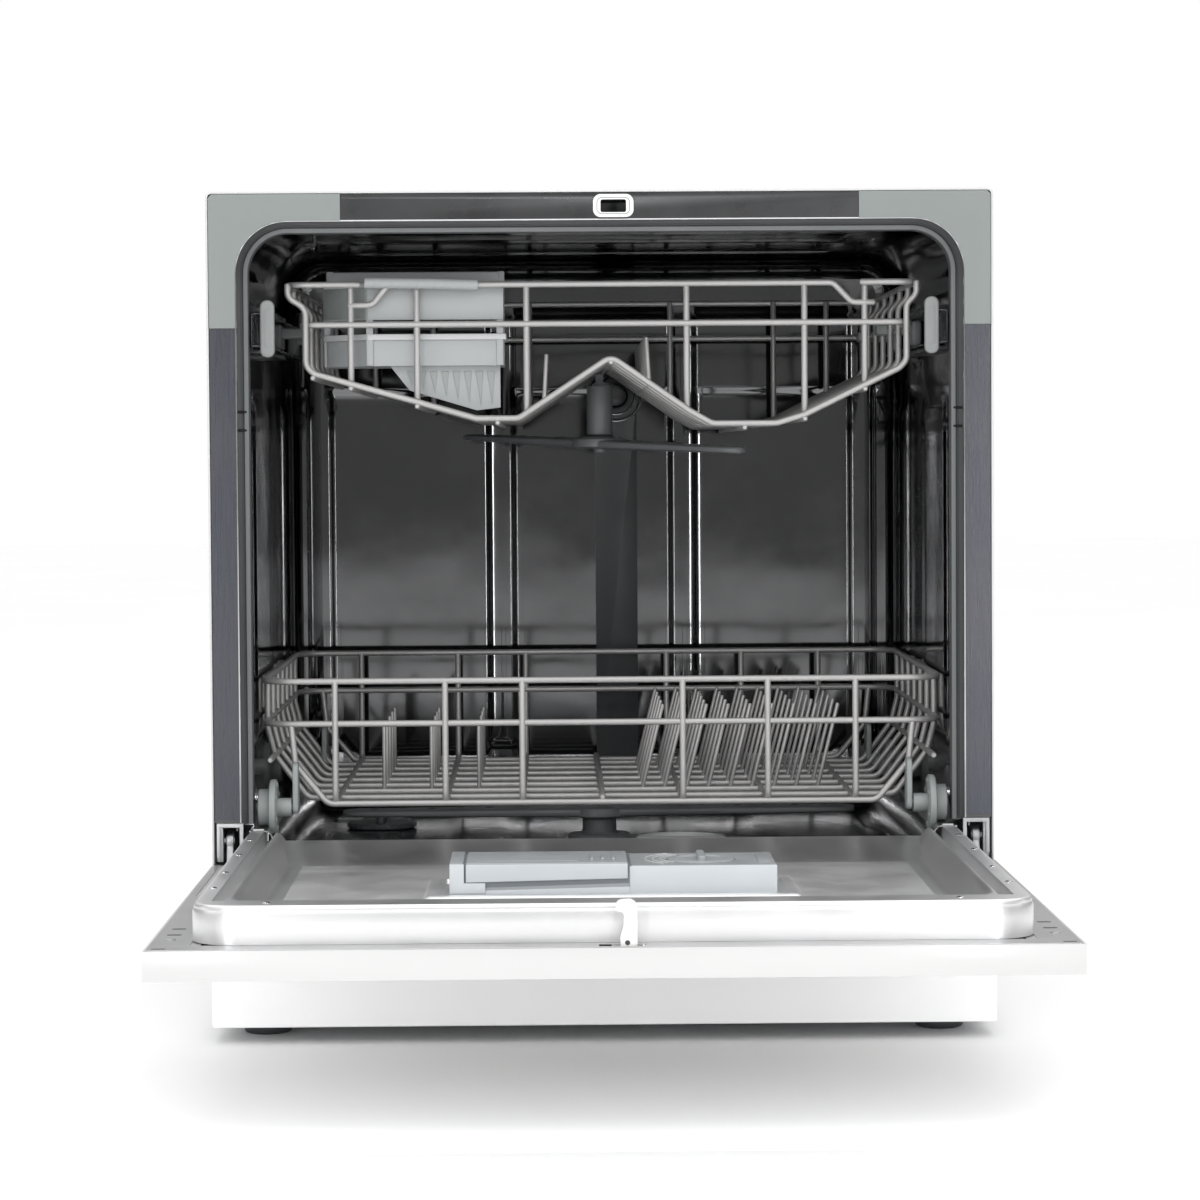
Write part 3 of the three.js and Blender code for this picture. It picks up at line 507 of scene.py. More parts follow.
def build_cabinet():
    refine("outer_wrap", MAT["paint"], 0.45, 2)
    refine("back_panel", MAT["galv"], 0.3, 1)
    refine("base_pan", MAT["galv"], 0.6)
    # plinth in its brightened white, painted light against the door's shade
    refine("plinth_panel", MAT["plinth"], 1.2, 3)
    # front frame in the darkened steel, a painted dark reflection
    refine("front_frame", MAT["flange"], 0.25, 1)
    refine("corner_cover_left", MAT["cover"], 0.5, 2)
    refine("corner_cover_right", MAT["cover"], 0.5, 2)
    M = Mesh()
    prism(M, rrect(-4.7, 23.7, 575.9, 592.0, 5.4, 10), -1.5, -0.35, "y", 0.4, 2, 0, holes=[rrect(0.6, 18.4, 579.3, 588.2, 1.4, 5)[::-1]])
    prism(M, rrect(-3.4, 22.4, 577.1, 590.8, 4.6, 10), -2.15, -1.2, "y", 0.4, 3, 0, holes=[rrect(0.6, 18.4, 579.3, 588.2, 1.4, 5)[::-1]])
    V, F = sweep([(x, -2.0, z) for x, z in rrect(-1.9, 20.9, 578.2, 589.5, 3.4, 8)], circle(0.35, 6), closed=True)
    M.add(V, F, 1)
    M.make("strike_trim_moulded", [MAT["white"], MAT["cover"]], "cabinet", "strike_trim", sharp=45)
    M = Mesh()
    rbox(M, 1.2, 9.4, 33.6, 35.0, 580.2, 586.6, 0.4, 2)
    M.make("lock_plate", MAT["pale"], "cabinet")
    refine("door_lock", MAT["dark"], 0.6)
    refine("hinge_bracket_left", MAT["galv"], 0.5)
    refine("hinge_bracket_right", MAT["galv"], 0.5)

    # side strips in the blue-to-brown tinted dark steel: a painted reflection of the surroundings
    for s, n in ((-1, "left"), (1, "right")):
        M = Mesh()
        x0, x1 = sorted((255.6 * s, 272.9 * s))
        rbox(M, x0, x1, -0.16, 0.3, 156.0, 499.4, 0.08, 1)
        M.make("side_flange_" + n, MAT["side"], "cabinet")
    # folded edge round the opening: a real bead, given bright chrome as a painted highlight line
    M = Mesh()
    path = [(x, 0.75, z) for x, z in arch(254.9, 153.6, 574.7, 36.2, 18)]
    V, F = sweep(path, circle(0.85, 8))
    M.add(V, F)
    M.make("opening_edge", MAT["chrome"], "cabinet")

    # feet: knurled disc, threaded stem
    for s, n in ((-1, "left"), (1, "right")):
        M = Mesh()
        at = (240 * s, 40, 0)
        lathe(M, [(0, 0.0), (14.5, 0.0), (16.2, 0.6), (17, 1.8), (17, 5.6), (16.2, 7.0), (14.5, 7.5), (7.2, 7.5), (7.2, 8.6), (0, 8.6)], "z", at, 48)
        prof = [(0, 8.0)]
        z = 8.4
        while z < 31.2:
            prof += [(4.4, z), (5.0, z + 0.6), (4.4, z + 1.2)]
            z += 1.25
        prof += [(4.2, 31.8), (0, 31.9)]
        lathe(M, prof, "z", at, 20, 1)
        for k in range(24):
            a = 2 * math.pi * k / 24
            cx, cy = at[0] + 16.75 * math.cos(a), at[1] + 16.75 * math.sin(a)
            lathe(M, [(0, 1.9), (0.55, 1.9), (0.55, 5.5), (0, 5.5)], "z", (cx - 0.3 * math.cos(a), cy - 0.3 * math.sin(a), 0), 8)
        M.make("foot_turned_" + n, [MAT["dark"], MAT["galv"]], "foot_front_%s_body" % n, "foot_front_" + n)

    # springs
    for s, n in ((-1, "left"), (1, "right")):
        M = Mesh()
        x0, z0 = 262 * s, 70.0
        pts = [(x0, 121, z0 + 4.6), (x0, 121, z0), (x0, 146, z0), (x0, 150, z0 + 5.4)]
        turns = 42
        for k in range(turns * 10 + 1):
            a = 2 * math.pi * k / 10
            pts.append((x0 + 5.4 * math.sin(a), 152 + 166.0 * k / (turns * 10), z0 + 5.4 * math.cos(a)))
        pts += [(x0, 320, z0 + 5.4), (x0, 324, z0), (x0, 349, z0), (x0, 349, z0 + 4.6)]
        V, F = sweep(pts, circle(0.95, 6))
        M.add(V, F)
        M.make("spring_coils_" + n, MAT["galv"], "cabinet", "door_spring_" + n, sharp=60)

    # screws on the back
    M = Mesh()
    for x in (-262, -130, 0, 130, 262):
        for z in (50, 582):
            lathe(M, [(0, 477.0), (4.2, 477.0), (4.2, 477.8), (3.4, 478.2), (1.2, 478.3), (0, 478.0)], "y", (x, 0, z), 20)
    for x in (-265, 265):
        for z in (180, 320, 460):
            lathe(M, [(0, 477.0), (4.2, 477.0), (4.2, 477.8), (3.4, 478.2), (1.2, 478.3), (0, 478.0)], "y", (x, 0, z), 20)
    M.make("back_screws", MAT["galv"], "cabinet")
    # stamped ribs of the back sheet
    M = Mesh()
    for x in (-180, -90, 0, 90, 180):
        prism(M, rrect(x - 9, x + 9, 150, 540, 8.5, 8), 476.6, 478.4, "y", 0.7, 2)
    M.make("back_ribs", MAT["galv"], "cabinet")
    # vent slots drawn as dark pads: painted shade standing for the openings
    M = Mesh()
    for k in range(9):
        for s in (-1, 1):
            prism(M, rrect(s * 225 - 22, s * 225 + 22, 300 + 12 * k, 304.5 + 12 * k, 2.1, 5), 476.9, 477.9, "y", 0.4, 2)
    M.make("back_louvres", MAT["dark"], "cabinet")


def step(x, a, b):
    """0 before a, 1 after b, eased."""
    t = np.clip((x - a) / (b - a), 0, 1)
    return t * t * (3 - 2 * t)


def grid_faces(nu, nv, closed_u=False):
    F = []
    for i in range(nu - (0 if closed_u else 1)):
        i2 = (i + 1) % nu
        for j in range(nv - 1):
            F.append((i * nv + j, i2 * nv + j, i2 * nv + j + 1, i * nv + j + 1))
    return F


def thicken(verts, faces, t, mat, M, flip=False):
    """An open sheet given a thickness and closed rims."""
    b = bmesh.new()
    vs = [b.verts.new(v) for v in verts]
    for f in faces:
        if len(set(f)) >= 3:
            try:
                b.faces.new([vs[i] for i in f])
            except ValueError:
                pass
    bmesh.ops.remove_doubles(b, verts=b.verts, dist=1e-4)
    loose = [v for v in b.verts if not v.link_faces]
    bmesh.ops.delete(b, geom=loose, context='VERTS')
    b.normal_update()
    b.verts.ensure_lookup_table()
    b.verts.index_update()
    n = len(b.verts)
    s = t if flip else -t
    V = [v.co[:] for v in b.verts] + [(v.co + v.normal * s)[:] for v in b.verts]
    F = []
    for f in b.faces:
        ids = [v.index for v in f.verts]
        F.append(tuple(ids))
        F.append(tuple(i + n for i in reversed(ids)))
    for e in b.edges:
        if len(e.link_faces) == 1:
            a, c = e.verts[0].index, e.verts[1].index
            F.append((a, c, c + n, a + n))
    b.free()
    M.add(V, F, mat)


def spread(*parts):
    out = []
    for a, b, n in parts:
        out += list(np.linspace(a, b, n, endpoint=False))
    out.append(parts[-1][1])
    return np.array(out)


def build_tub():
    M = Mesh()
    # walls and ceiling: path parameter runs up the left side, over and down the right
    side = spread((147.9, 205, 8), (205, 212, 3), (212, 440, 6), (440, 456, 6), (456, 538, 6))
    ys = spread((0.2, 37.4, 5), (37.4, 39.4, 4), (39.4, 60, 3), (60, 66, 3), (66, 78, 3), (78, 84, 3), (84, 200, 4), (200, 214, 5), (214, 320, 5), (320, 334, 5), (334, 420, 4), (420, 438.8, 9))

    def ring(hx, top, r):
        pts = [(-hx, z) for z in side if z < top - r - 0.5]
        pts += arc(-hx + r, top - r, r, 180, 90, 12)
        xs = spread((-hx + r, -186, 4), (-186, -178, 4), (-178, 178, 12), (178, 186, 4), (186, hx - r, 4))
        pts += [(x, top) for x in xs[1:-1]]
        pts += arc(hx - r, top - r, r, 90, 0, 12)
        pts += [(hx, z) for z in side[::-1] if z < top - r - 0.5]
        return pts
    rows = []
    for y in ys:
        if y < 37.5:
            hx, top, r = 256.8, 576.3, 37.0
        elif y < 39.5:
            k = (y - 37.4) / 2.0
            hx, top, r = 256.8 - 8.0 * k, 576.3 - 7.5 * k, 37.0 - 7.0 * k
        else:
            hx, top, r = 248.8, 568.8, 30.0
        d = 0.0
        if y > 420:
            a = math.asin(min(1.0, (y - 420) / 18.8))
            d = 18.8 * (1 - math.cos(a))
        rr = max(6.0, r - d)
        rows.append((y, hx - d, top - d, rr))
    # one common point count: every row uses the same spacing by building from the same recipe
    base = ring(248.8, 568.8, 30.0)
    n = len(base)
    P = []
    for y, hx, top, r in rows:
        loop = []
        for x, z in base:
            sx = -1 if x < 0 else 1
            ax = abs(x)
            # move the recipe's point to this row's outline
            if z > 538.8 and ax > 218.8:
                ux, uz = (ax - 218.8) / 30.0, (z - 538.8) / 30.0
                nx, nz = hx - r + ux * r, top - r + uz * r
            elif z > 568.0:
                nx, nz = ax * (hx - r) / 218.8, top
            else:
                nx, nz = hx, 147.9 + (z - 147.9) * (top - r - 147.9) / (538.8 - 147.9)
            loop.append([sx * nx, y, nz])
        P.append(loop)
    P = np.array(P)                      # rows x n x 3
    X, Y, Z = P[..., 0], P[..., 1], P[..., 2]
    inside = step(Y, 60, 66)
    below = 1 - step(Z, 442, 454)
    low = step(Z, 205, 212)
    wall = (np.abs(X) > 225) & (Z < 545)
    d = 2.2 * inside * below * low
    d = d - 1.4 * step(Y, 200, 214) * (1 - step(Y, 320, 334)) * below * low
    P[..., 0] -= np.where(wall, np.sign(X) * d * (1 - step(Y, 405, 425)), 0)
    ceil = (Z > 560) & (Y > 60) & (Y < 425)
    e = 2.6 * step(Y, 200, 214) * (1 - step(Y, 320, 334)) * (1 - step(np.abs(X), 178, 186))
    P[..., 2] += np.where(ceil, np.minimum(e, 0.6), 0)
    P[..., 2] -= np.where(ceil, 1.6 * (step(Y, 84, 130) * (1 - step(Y, 180, 200))) * (1 - step(np.abs(X), 178, 186)), 0)
    nr = len(rows)
    thicken(P.reshape(-1, 3), grid_faces(nr, n), 0.9, 0, M)

    # back wall with pressed ribs
    xs = []
    ribs = [(-235, -215), (-86, -66), (63, 82.5), (210.5, 229.5)]
    xs = sorted(set(np.round(np.concatenate([np.linspace(-240, 240, 30)] + [np.array([a - 3, a - 1.5, a, a + 1.5, a + 3, b - 3, b - 1.5, b, b + 1.5, b + 3]) for a, b in ribs]), 2)))
    zs = sorted(set(np.round(np.concatenate([np.linspace(112, 560, 34), [198, 200, 202, 204, 206, 458, 460, 462, 464, 466, 520, 523, 526]]), 2)))
    V = []
    for x in xs:
        for z in zs:
            t = 0.0
            for a, b in ribs:
                t = max(t, float(step(x, a - 3, a + 3) * (1 - step(x, b - 3, b + 3))))
            t *= float(step(z, 150, 165) * (1 - step(z, 518, 528)))
            band = float(step(z, 458, 466) * (1 - step(z, 518, 526))) * (1 - t)
            V.append((x, 438.9 - 2.6 * t - 0.9 * band, z))
    thicken(V, grid_faces(len(xs), len(zs)), 0.7, 0, M, flip=True)

    # floor, in the lighter tub floor steel as painted light
    xs = sorted(set(np.round(np.concatenate([np.linspace(-249, 249, 84), [-239, -238, -237, -236, -234, -232, -230, -228, 228, 230, 232, 234, 236, 237, 238, 239], [-212, -209, -206, -155, -152, -149, -125, -122, -119, 119, 122, 206, 209]]), 2)))
    ysf = sorted(set(np.round(np.concatenate([np.linspace(0.3, 70, 24), np.linspace(70, 438.6, 72), [421, 424, 427, 430, 433, 435, 437, 438.8]]), 2)))
    prof_y = [0, 2, 47, 62, 440]
    prof_z = [140.0, 140.0, 126.4, 117.4, 117.4]
    V, ok = [], []
    for x in xs:
        for y in ysf:
            z = float(np.interp(y, prof_y, prof_z))
            z += 0.0
            ax = abs(x)
            side_z = 117.4 + 29.6 * float(step(ax, 222, 236.5))
            z = max(z, side_z)
            if y > 420:
                a = math.asin(min(1.0, (y - 420) / 18.8))
                z = max(z, 117.4 + 18.8 * (1 - math.cos(a)))
            # pressed pads
            for (a0, a1, b0, b1) in ((-209, -152, 75, 262), (-212, -152, 345, 412), (122, 209, 75, 412), (-118, -70, 75, 412)):
                pad = float(step(x, a0, a0 + 4) * (1 - step(x, a1 - 4, a1)) * step(y, b0, b0 + 4) * (1 - step(y, b1 - 4, b1)))
                z += 1.5 * pad
            # dish round the filter
            rr = math.hypot(x - 60, y - 165)
            z -= 0.9 * (1 - float(step(rr, 64, 74)))
            V.append((x, y, z))
    nx_, ny_ = len(xs), len(ysf)
    F = []
    for i in range(nx_ - 1):
        for j in range(ny_ - 1):
            cx, cy = (xs[i] + xs[i + 1]) / 2, (ysf[j] + ysf[j + 1]) / 2
            if math.hypot(cx - 60, cy - 165) < 51 or math.hypot(cx, cy - 230) < 15 or math.hypot(cx + 170, cy - 300) < 24:
                continue
            F.append((i * ny_ + j, (i + 1) * ny_ + j, (i + 1) * ny_ + j + 1, i * ny_ + j + 1))
    thicken(V, F, 0.9, 1, M, flip=True)
    # walls in the darkened tub steel (painted dark reflection), floor in its lighter copy (painted light)
    M.make("tub_pressed", [MAT["tub"], MAT["tubfloor"]], "cabinet", "tub", sharp=50)

    # little light-coloured ramps at the mouth of the tub
    M = Mesh()
    for s in (-1, 1):
        prism(M, [(1.4, 143.6), (12.6, 143.6), (12.6, 146.0), (1.4, 149.2)], 238.6 * s if s > 0 else -246.4, 246.4 if s > 0 else -238.6, "x", 0.5, 2)
    M.make("mouth_ramps", MAT["pale"], "cabinet")

    # gasket: body, and a lip strip in lighter rubber as a painted lit band
    M = Mesh()
    path = [(x, 30.4, z) for x, z in arch(252.6, 151.5, 572.1, 33, 18)]
    path = [(-252.6, 30.4, 150.4)] + path[1:-1] + [(252.6, 30.4, 150.4)]
    body = [(-4.7, -7.0), (4.6, -7.0), (4.6, 6.8), (1.0, 6.8), (0.2, 4.6), (-4.0, 4.6), (-4.7, 3.6)]
    # section u is along local up, v across
    V, F = sweep_flat(path, [(-4.8, -6.9), (-1.2, -6.9), (-0.8, -5.6), (0.4, -5.6), (0.8, -6.9), (4.7, -6.9), (4.7, 6.9), (-4.2, 6.9), (-4.8, 6.3)])
    M.add(V, F, 0)
    V, F = sweep_flat(path, [(-4.4, -7.3), (-3.6, -7.36), (-1.6, -7.36), (-1.2, -6.6), (-1.6, -5.4), (-4.4, -5.4)])
    M.add(V, F, 1)
    for s in (-1, 1):
        for z in (429, 442):
            rbox(M, s * 252.6 - 3.4, s * 252.6 + 3.4, 23.0, 24.4, z - 1.0, z + 1.0, 0.3, 1, 2)
    M.make("gasket_rolled", [MAT["rubber"], MAT["rubber_lip_painted_light"], MAT["brub"]], "cabinet", "door_gasket", sharp=40)


def sweep_flat(path, sec):
    """Sweeps a section along an arch lying in x, z. Section pairs: (outwards, along y)."""
    P = np.array(path, float)
    n, m = len(P), len(sec)
    V = []
    for i in range(n):
        if i == 0:
            t = P[1] - P[0]
        elif i == n - 1:
            t = P[-1] - P[-2]
        else:
            t = (P[i + 1] - P[i]) / np.linalg.norm(P[i + 1] - P[i]) + (P[i] - P[i - 1]) / np.linalg.norm(P[i] - P[i - 1])
        t = t / np.linalg.norm(t)
        out = np.array([-t[2], 0, t[0]])      # left of travel: outwards for a clockwise arch
        for u, v in sec:
            V.append(P[i] + out * u + np.array([0, v, 0]))
    F = []
    for i in range(n - 1):
        for j in range(m):
            k = (j + 1) % m
            F.append((i * m + j, i * m + k, (i + 1) * m + k, (i + 1) * m + j))
    F.append(tuple(range(m)))
    F.append(tuple((n - 1) * m + j for j in range(m)))
    return V, F


def build_sump():
    M = Mesh()
    lathe(M, [(35.4, 118.2), (62, 118.2), (63.2, 118.6), (62.4, 119.7), (60, 120.1), (40, 119.4), (37, 119.6), (35.4, 119.3)], "z", (60, 165, 0), 72)
    M.make("filter_plate_pressed", MAT["mesh"], "cabinet", "filter_plate", sharp=50)
    refine("filter_cup", MAT["pale"], 0.7, 2)
    M = Mesh()
    for k in range(18):
        a = 2 * math.pi * k / 18
        rbox(M, 60 + 34.2 * math.cos(a) - 0.8, 60 + 34.2 * math.cos(a) + 0.8, 165 + 34.2 * math.sin(a) - 0.8, 165 + 34.2 * math.sin(a) + 0.8, 72, 114, 0.3, 1)
    M.make("filter_cup_ribs", MAT["pale"], "filter_cup_body")
    refine("sump", MAT["dark"], 0.8, 2)
    M = Mesh()
    lathe(M, [(0, 118.4), (24, 118.4), (26, 118.9), (27, 120.0), (27, 121.6), (26, 123.0), (24.4, 123.5), (0, 123.5)], "z", (-170, 300, 0), 64)
    rbox(M, -173.2, -166.8, 276, 324, 121, 129.4, 2.4, 4)
    for k in range(30):
        a = 2 * math.pi * k / 30
        rbox(M, -170 + 26.6 * math.cos(a) - 0.7, -170 + 26.6 * math.cos(a) + 0.7, 300 + 26.6 * math.sin(a) - 0.7, 300 + 26.6 * math.sin(a) + 0.7, 119.4, 122.2, 0.3, 1)
    M.make("salt_cap_moulded", MAT["salt"], "salt_cap_body", "salt_cap")
    M = Mesh()
    lathe(M, [(0, 118.3), (24, 118.3), (24, 119.4), (22.6, 120.4), (14.6, 120.8), (13, 122.4), (13, 131.2), (12, 132.2), (6.6, 132.4), (6, 133), (6, 143.2), (5.2, 144), (0, 144)], "z", (0, 230, 0), 48)
    M.make("lower_hub_turned", MAT["armgrey"], "cabinet", "lower_arm_hub")
    for n, m in (("wash_pump", "dark"), ("drain_pump", "dark"), ("water_heater", "galv"), ("water_softener", "pale"), ("inlet_valve", "white"), ("drain_spigot", "dark"), ("cord_gland", "dark"), ("feed_duct", "dark")):
        refine(n, MAT[m], 0.7, 2)
    M = Mesh()
    lathe(M, [(12, 418.2), (17.8, 418.2), (18.7, 419.2), (18.9, 421), (18.2, 423.6), (16.4, 424), (13.0, 422.0), (11.2, 420.0)], "y", (18, 0, 458), 48)
    for rad, thick in ((20.6, 1.2), (15.2, 0.9)):
        pts = [(18 + rad * math.cos(2 * math.pi * k / 40), 417.2, 458 + rad * math.sin(2 * math.pi * k / 40)) for k in range(40)]
        V, F = sweep(pts, circle(thick, 8), closed=True)
        M.add(V, F)
    M.make("docking_ring", MAT["chrome"], "cabinet")


# ------------------------------------------------------------------ racks
def rack_loop(M, hx0, hx1, y0, y1, z, r, rad=2.1, n=10):
    pts = [(hx0, y0, z), (hx1, y0, z), (hx1, y1, z), (hx0, y1, z)]
    wire(M, pts, rad, r, n, closed=True, steps=7)


def build_upper_rack():
    M = Mesh()
    r = 2.3
    # rim: two end bows and the raised front rail between them
    wire(M, [(-171.0, 45, 532), (-221.5, 45, 532), (-221.5, 408, 532), (225.8, 408, 532), (225.8, 45, 532), (186.5, 45, 532)], r, 13, 12, steps=7)
    wire(M, [(-178, 47.2, 517.4), (-161.5, 47.2, 517.6), (-150.5, 46.5, 531.6), (166.5, 46.5, 531.8), (179.8, 47.2, 517.8), (195.5, 47.2, 517.6)], r, 7, 12, steps=4)
    rack_loop(M, -212, 221, 46.5, 406.5, 503.6, 12, r, 12)
    prof = [(-221.5, 532), (-221.5, 523), (-209, 515.5), (-209, 474.5), (-203.5, 469), (-177, 461.5), (-130, 448.5), (-88, 436.5), (-58, 436.5), (8, 480), (64, 441), (80, 432), (126, 432), (146, 438), (189, 459), (213, 470.5), (218.6, 476), (218.6, 517), (225.8, 522.5), (225.8, 532)]
    for i, y in enumerate((45, 105, 165, 226, 287, 348, 408)):
        yy = y - 0.5 if i == 0 else (y + 0.5 if i == 6 else y)
        wire(M, [(x, yy, z) for x, z in prof], r, 9, 12, steps=4)
    for x, z in ((-204, 469), (-177, 461.5), (-130, 448.5), (-73, 436.5), (8, 479), (103, 432), (146, 438), (189, 459)):
        wire(M, [(x, 44, z - 3.0), (x, 409, z - 3.0)], r * 0.92, 4, 10)
    for y in (47.5, 405.5):
        for x, z0, z1 in ((-177, 461.5, 532), (-130, 448.5, 529), (-52, 441, 532), (62, 443, 532), (146, 438, 532), (189, 459, 532)):
            wire(M, [(x, y, z0), (x, y, z1)], r, 4, 12)
    # second cup row tines
    for x0 in (-40, 36):
        for k in range(9):
            y = 75 + 38 * k
            zb = float(np.interp(x0, [-58, 8, 64], [436.5, 479, 441]))
            wire(M, [(x0, y, zb - 1), (x0 + (2 if x0 < 0 else -2), y, zb + 34)], 1.6, 4, 8)
    # shoes
    for s in (-1, 1):
        for y in (210, 370):
            rbox(M, min(237.2 * s, 244.6 * s), max(237.2 * s, 244.6 * s), y - 20, y + 20, 490.4, 509.6, 2.4, 4, 1)
            a, b = sorted((208.5 * s if s < 0 else 211.5, 238 * s))
            rbox(M, a, b, y - 12, y + 12, 499.2, 507.0, 1.4, 3, 1)
    M.make("upper_rack_wires", [MAT["wire"], MAT["grey"]], "upper_rack_body", "upper_rack", sharp=50)

    # grip sleeve on the front rail
    M = Mesh()
    pts = [(-166.6, 45, 533.2), (-126, 45, 532.6), (-86.4, 45, 531.4)]
    V, F = sweep(pts, circle(3.85, 20))
    M.add(V, F)
    for x in np.linspace(-160, -92, 12):
        k = (x + 166.6) / 80.2
        z = 533.2 - 1.8 * k
        lathe(M, [(3.7, x - 0.6), (3.95, x - 0.4), (3.95, x + 0.4), (3.7, x + 0.6)], "x", (0, 45, z), 20)
    M.make("rack_handle_sleeve", MAT["pale2"], "upper_rack_body", "rack_handle")

    # rails, bearings, stop caps
    for s, n in ((-1, "left"), (1, "right")):
        refine("rail_bearing_" + n, MAT["flange"], 0.4)
        # rails in the same tinted dark steel, a painted reflection
        refine("upper_rail_" + n, MAT["side"], 0.35)
        M = Mesh()
        x0, x1 = sorted((229.7 * s, 239.8 * s))
        prism(M, rrect(x0, x1, 480.3, 520.7, 4.8, 10), 24.8, 31.4, "y", 1.6, 4)
        prism(M, rrect(x0 + 2.8, x1 - 2.8, 487, 514, 2.1, 6), 24.5, 26.0, "y", 0.3, 2)
        M.make("stop_cap_moulded_" + n, MAT["cap"], "rail_stop_cap_%s_body" % n, "rail_stop_cap_" + n)


def build_basket():
    """Two-tier basket: a slanted-corner tray above, a second rim and comb below."""
    M = Mesh()
    yb = 127.6

    def tray(x0, x1, y0, y1, cut, z0, z1, t, mat, floor=True, flip=False):
        out = [(x0, y0 + cut), (x0 + cut * 1.05, y0), (x1, y0), (x1, y1), (x0, y1)]
        inn = [(x0 + t, y0 + cut + t * 0.4), (x0 + cut * 1.05 + t * 0.4, y0 + t), (x1 - t, y0 + t), (x1 - t, y1 - t), (x0 + t, y1 - t)]
        prism(M, out, z0, z1, "z", 0.5, 2, mat, holes=[inn[::-1]])
        if floor:
            prism(M, [(a, b) for a, b in inn], z0 + 0.4, z0 + 2.2, "z", 0.2, 1, mat)
    # upper tray, its rim a little higher at the left
    b0 = len(M.v)
    tray(-198.8, -68.4, 53.4, yb, 32, 507.2, 530.6, 2.2, 0)
    prism(M, [(-198.8, 85.4), (-165.2, 53.4), (-68.4, 53.4), (-68.4, 57.6), (-163.4, 57.6), (-194.6, 87.2)], 530.0, 533.6, "z", 1.0, 3, 1)
    # dark grey plate on the slanted corner face: painted shade for the face turned from the light
    prism(M, [(-198.9, 84.4), (-166.2, 53.2), (-165.4, 54.8), (-198.0, 86.0)], 508.5, 530.0, "z", 0.3, 1, 2)
    # posts
    for x, y in ((-196, 90), (-196, 124), (-71, 57), (-71, 124), (-164, 56.5)):
        rbox(M, x - 2.6, x + 2.6, y - 2.6, y + 2.6, 474.4, 545 if y > 100 else 534, 1.0, 2, 0)
    prism(M, [(-198.8, 121.6), (-68.4, 121.6), (-68.4, 127.4), (-198.8, 127.4)], 533, 544.6, "z", 1.0, 3, 0)
    # lower tier
    tray(-198.8, -66.6, 53.6, yb, 32, 493.0, 497.2, 4.6, 1, floor=False)
    tray(-196.4, -69.0, 55.6, yb - 1, 31, 474.4, 493.2, 2.0, 0)
    # comb under the trays, its lower edge following the rack
    prism(M, [(-150, 474.6), (-71, 474.6), (-71, 444.5), (-88, 442.5), (-136, 457.0)], 62, 64.2, "y", 0.4, 2, 0)
    for k in range(8):
        x = -78 - 8.2 * k
        z = float(np.interp(x, [-136, -88, -71], [459, 445, 446]))
        prism(M, [(x - 2.6, 470.5), (x + 1.2, z + 1.0), (x + 2.8, 470.5)], 61.3, 62.2, "y", 0.2, 1, 2)
    # upper comb that separates knives
    for k in range(9):
        x = -190 + 14.2 * k
        rbox(M, x - 1.0, x + 1.0, 96, 120, 509.4, 524.0, 0.5, 2, 0)
    # openings in the floors, drawn as dark grey slots of painted shade
    for k in range(8):
        rbox(M, -186 + 14.2 * k, -178.6 + 14.2 * k, 92, 116, 509.0, 509.9, 0.3, 1, 2)
    M.make("cutlery_basket_moulded", [MAT["pale2"], MAT["white2"], MAT["grey"]], "upper_rack_body", "cutlery_basket", sharp=40)


def blade(M, cx, cy, zc, ang, L, w0, w1, th, curve, tilt=0.0, mat=0, jets=5, mat2=1, step_z=0.0):
    """One arm of a spray arm: a tapered, curved, rounded blade with jets on its top."""
    n = 22
    a = math.radians(ang)
    V, F = [], []
    sec = 16
    for i in range(n + 1):
        t = i / n
        s = t * (L - w1 * 0.5)
        bend = curve * math.sin(t * math.pi * 0.5) ** 2
        w = w0 + (w1 - w0) * t
        h = th * (1 - 0.35 * t)
        if i >= n - 3:
            q = (i - (n - 3)) / 3.0
            s = (L - w1) + w1 * math.sin(q * math.pi / 2)
            w = w * math.cos(q * math.pi / 2 * 0.93)
            h = h * (1 - 0.25 * q)
        x = cx + s * math.cos(a) - bend * math.sin(a)
        y = cy + s * math.sin(a) + bend * math.cos(a)
        z = zc + s * tilt + step_z * t
        ux, uy = -math.sin(a), math.cos(a)
        for k in range(sec):
            b = 2 * math.pi * k / sec
            c, sn = math.cos(b), math.sin(b)
            e = 0.55
            px = math.copysign(abs(c) ** e, c) * w
            pz = math.copysign(abs(sn) ** 0.75, sn) * h
            V.append((x + ux * px, y + uy * px, z + pz))
    for i in range(n):
        for k in range(sec):
            k2 = (k + 1) % sec
            F.append((i * sec + k, i * sec + k2, (i + 1) * sec + k2, (i + 1) * sec + k))
    F.append(tuple(range(sec))[::-1])
    F.append(tuple(n * sec + k for k in range(sec)))
    M.add(V, F, mat)
    for j in range(jets):
        t = 0.34 + 0.6 * j / max(1, jets - 1)
        s = t * (L - w1 * 1.2)
        off = (0.35 if j % 2 else -0.35) * (w0 + (w1 - w0) * t) * 0.8
        bend = curve * math.sin(t * math.pi * 0.5) ** 2
        x = cx + s * math.cos(a) - (bend + off) * math.sin(a)
        y = cy + s * math.sin(a) + (bend + off) * math.cos(a)
        z = zc + s * tilt + step_z * t + th * (1 - 0.35 * t)
        lathe(M, [(0, z - 0.8), (3.4, z - 0.8), (3.0, z + 0.25), (1.6, z + 0.3), (1.4, z - 0.3), (0, z - 0.3)], "z", (x, y, 0), 14, mat2)


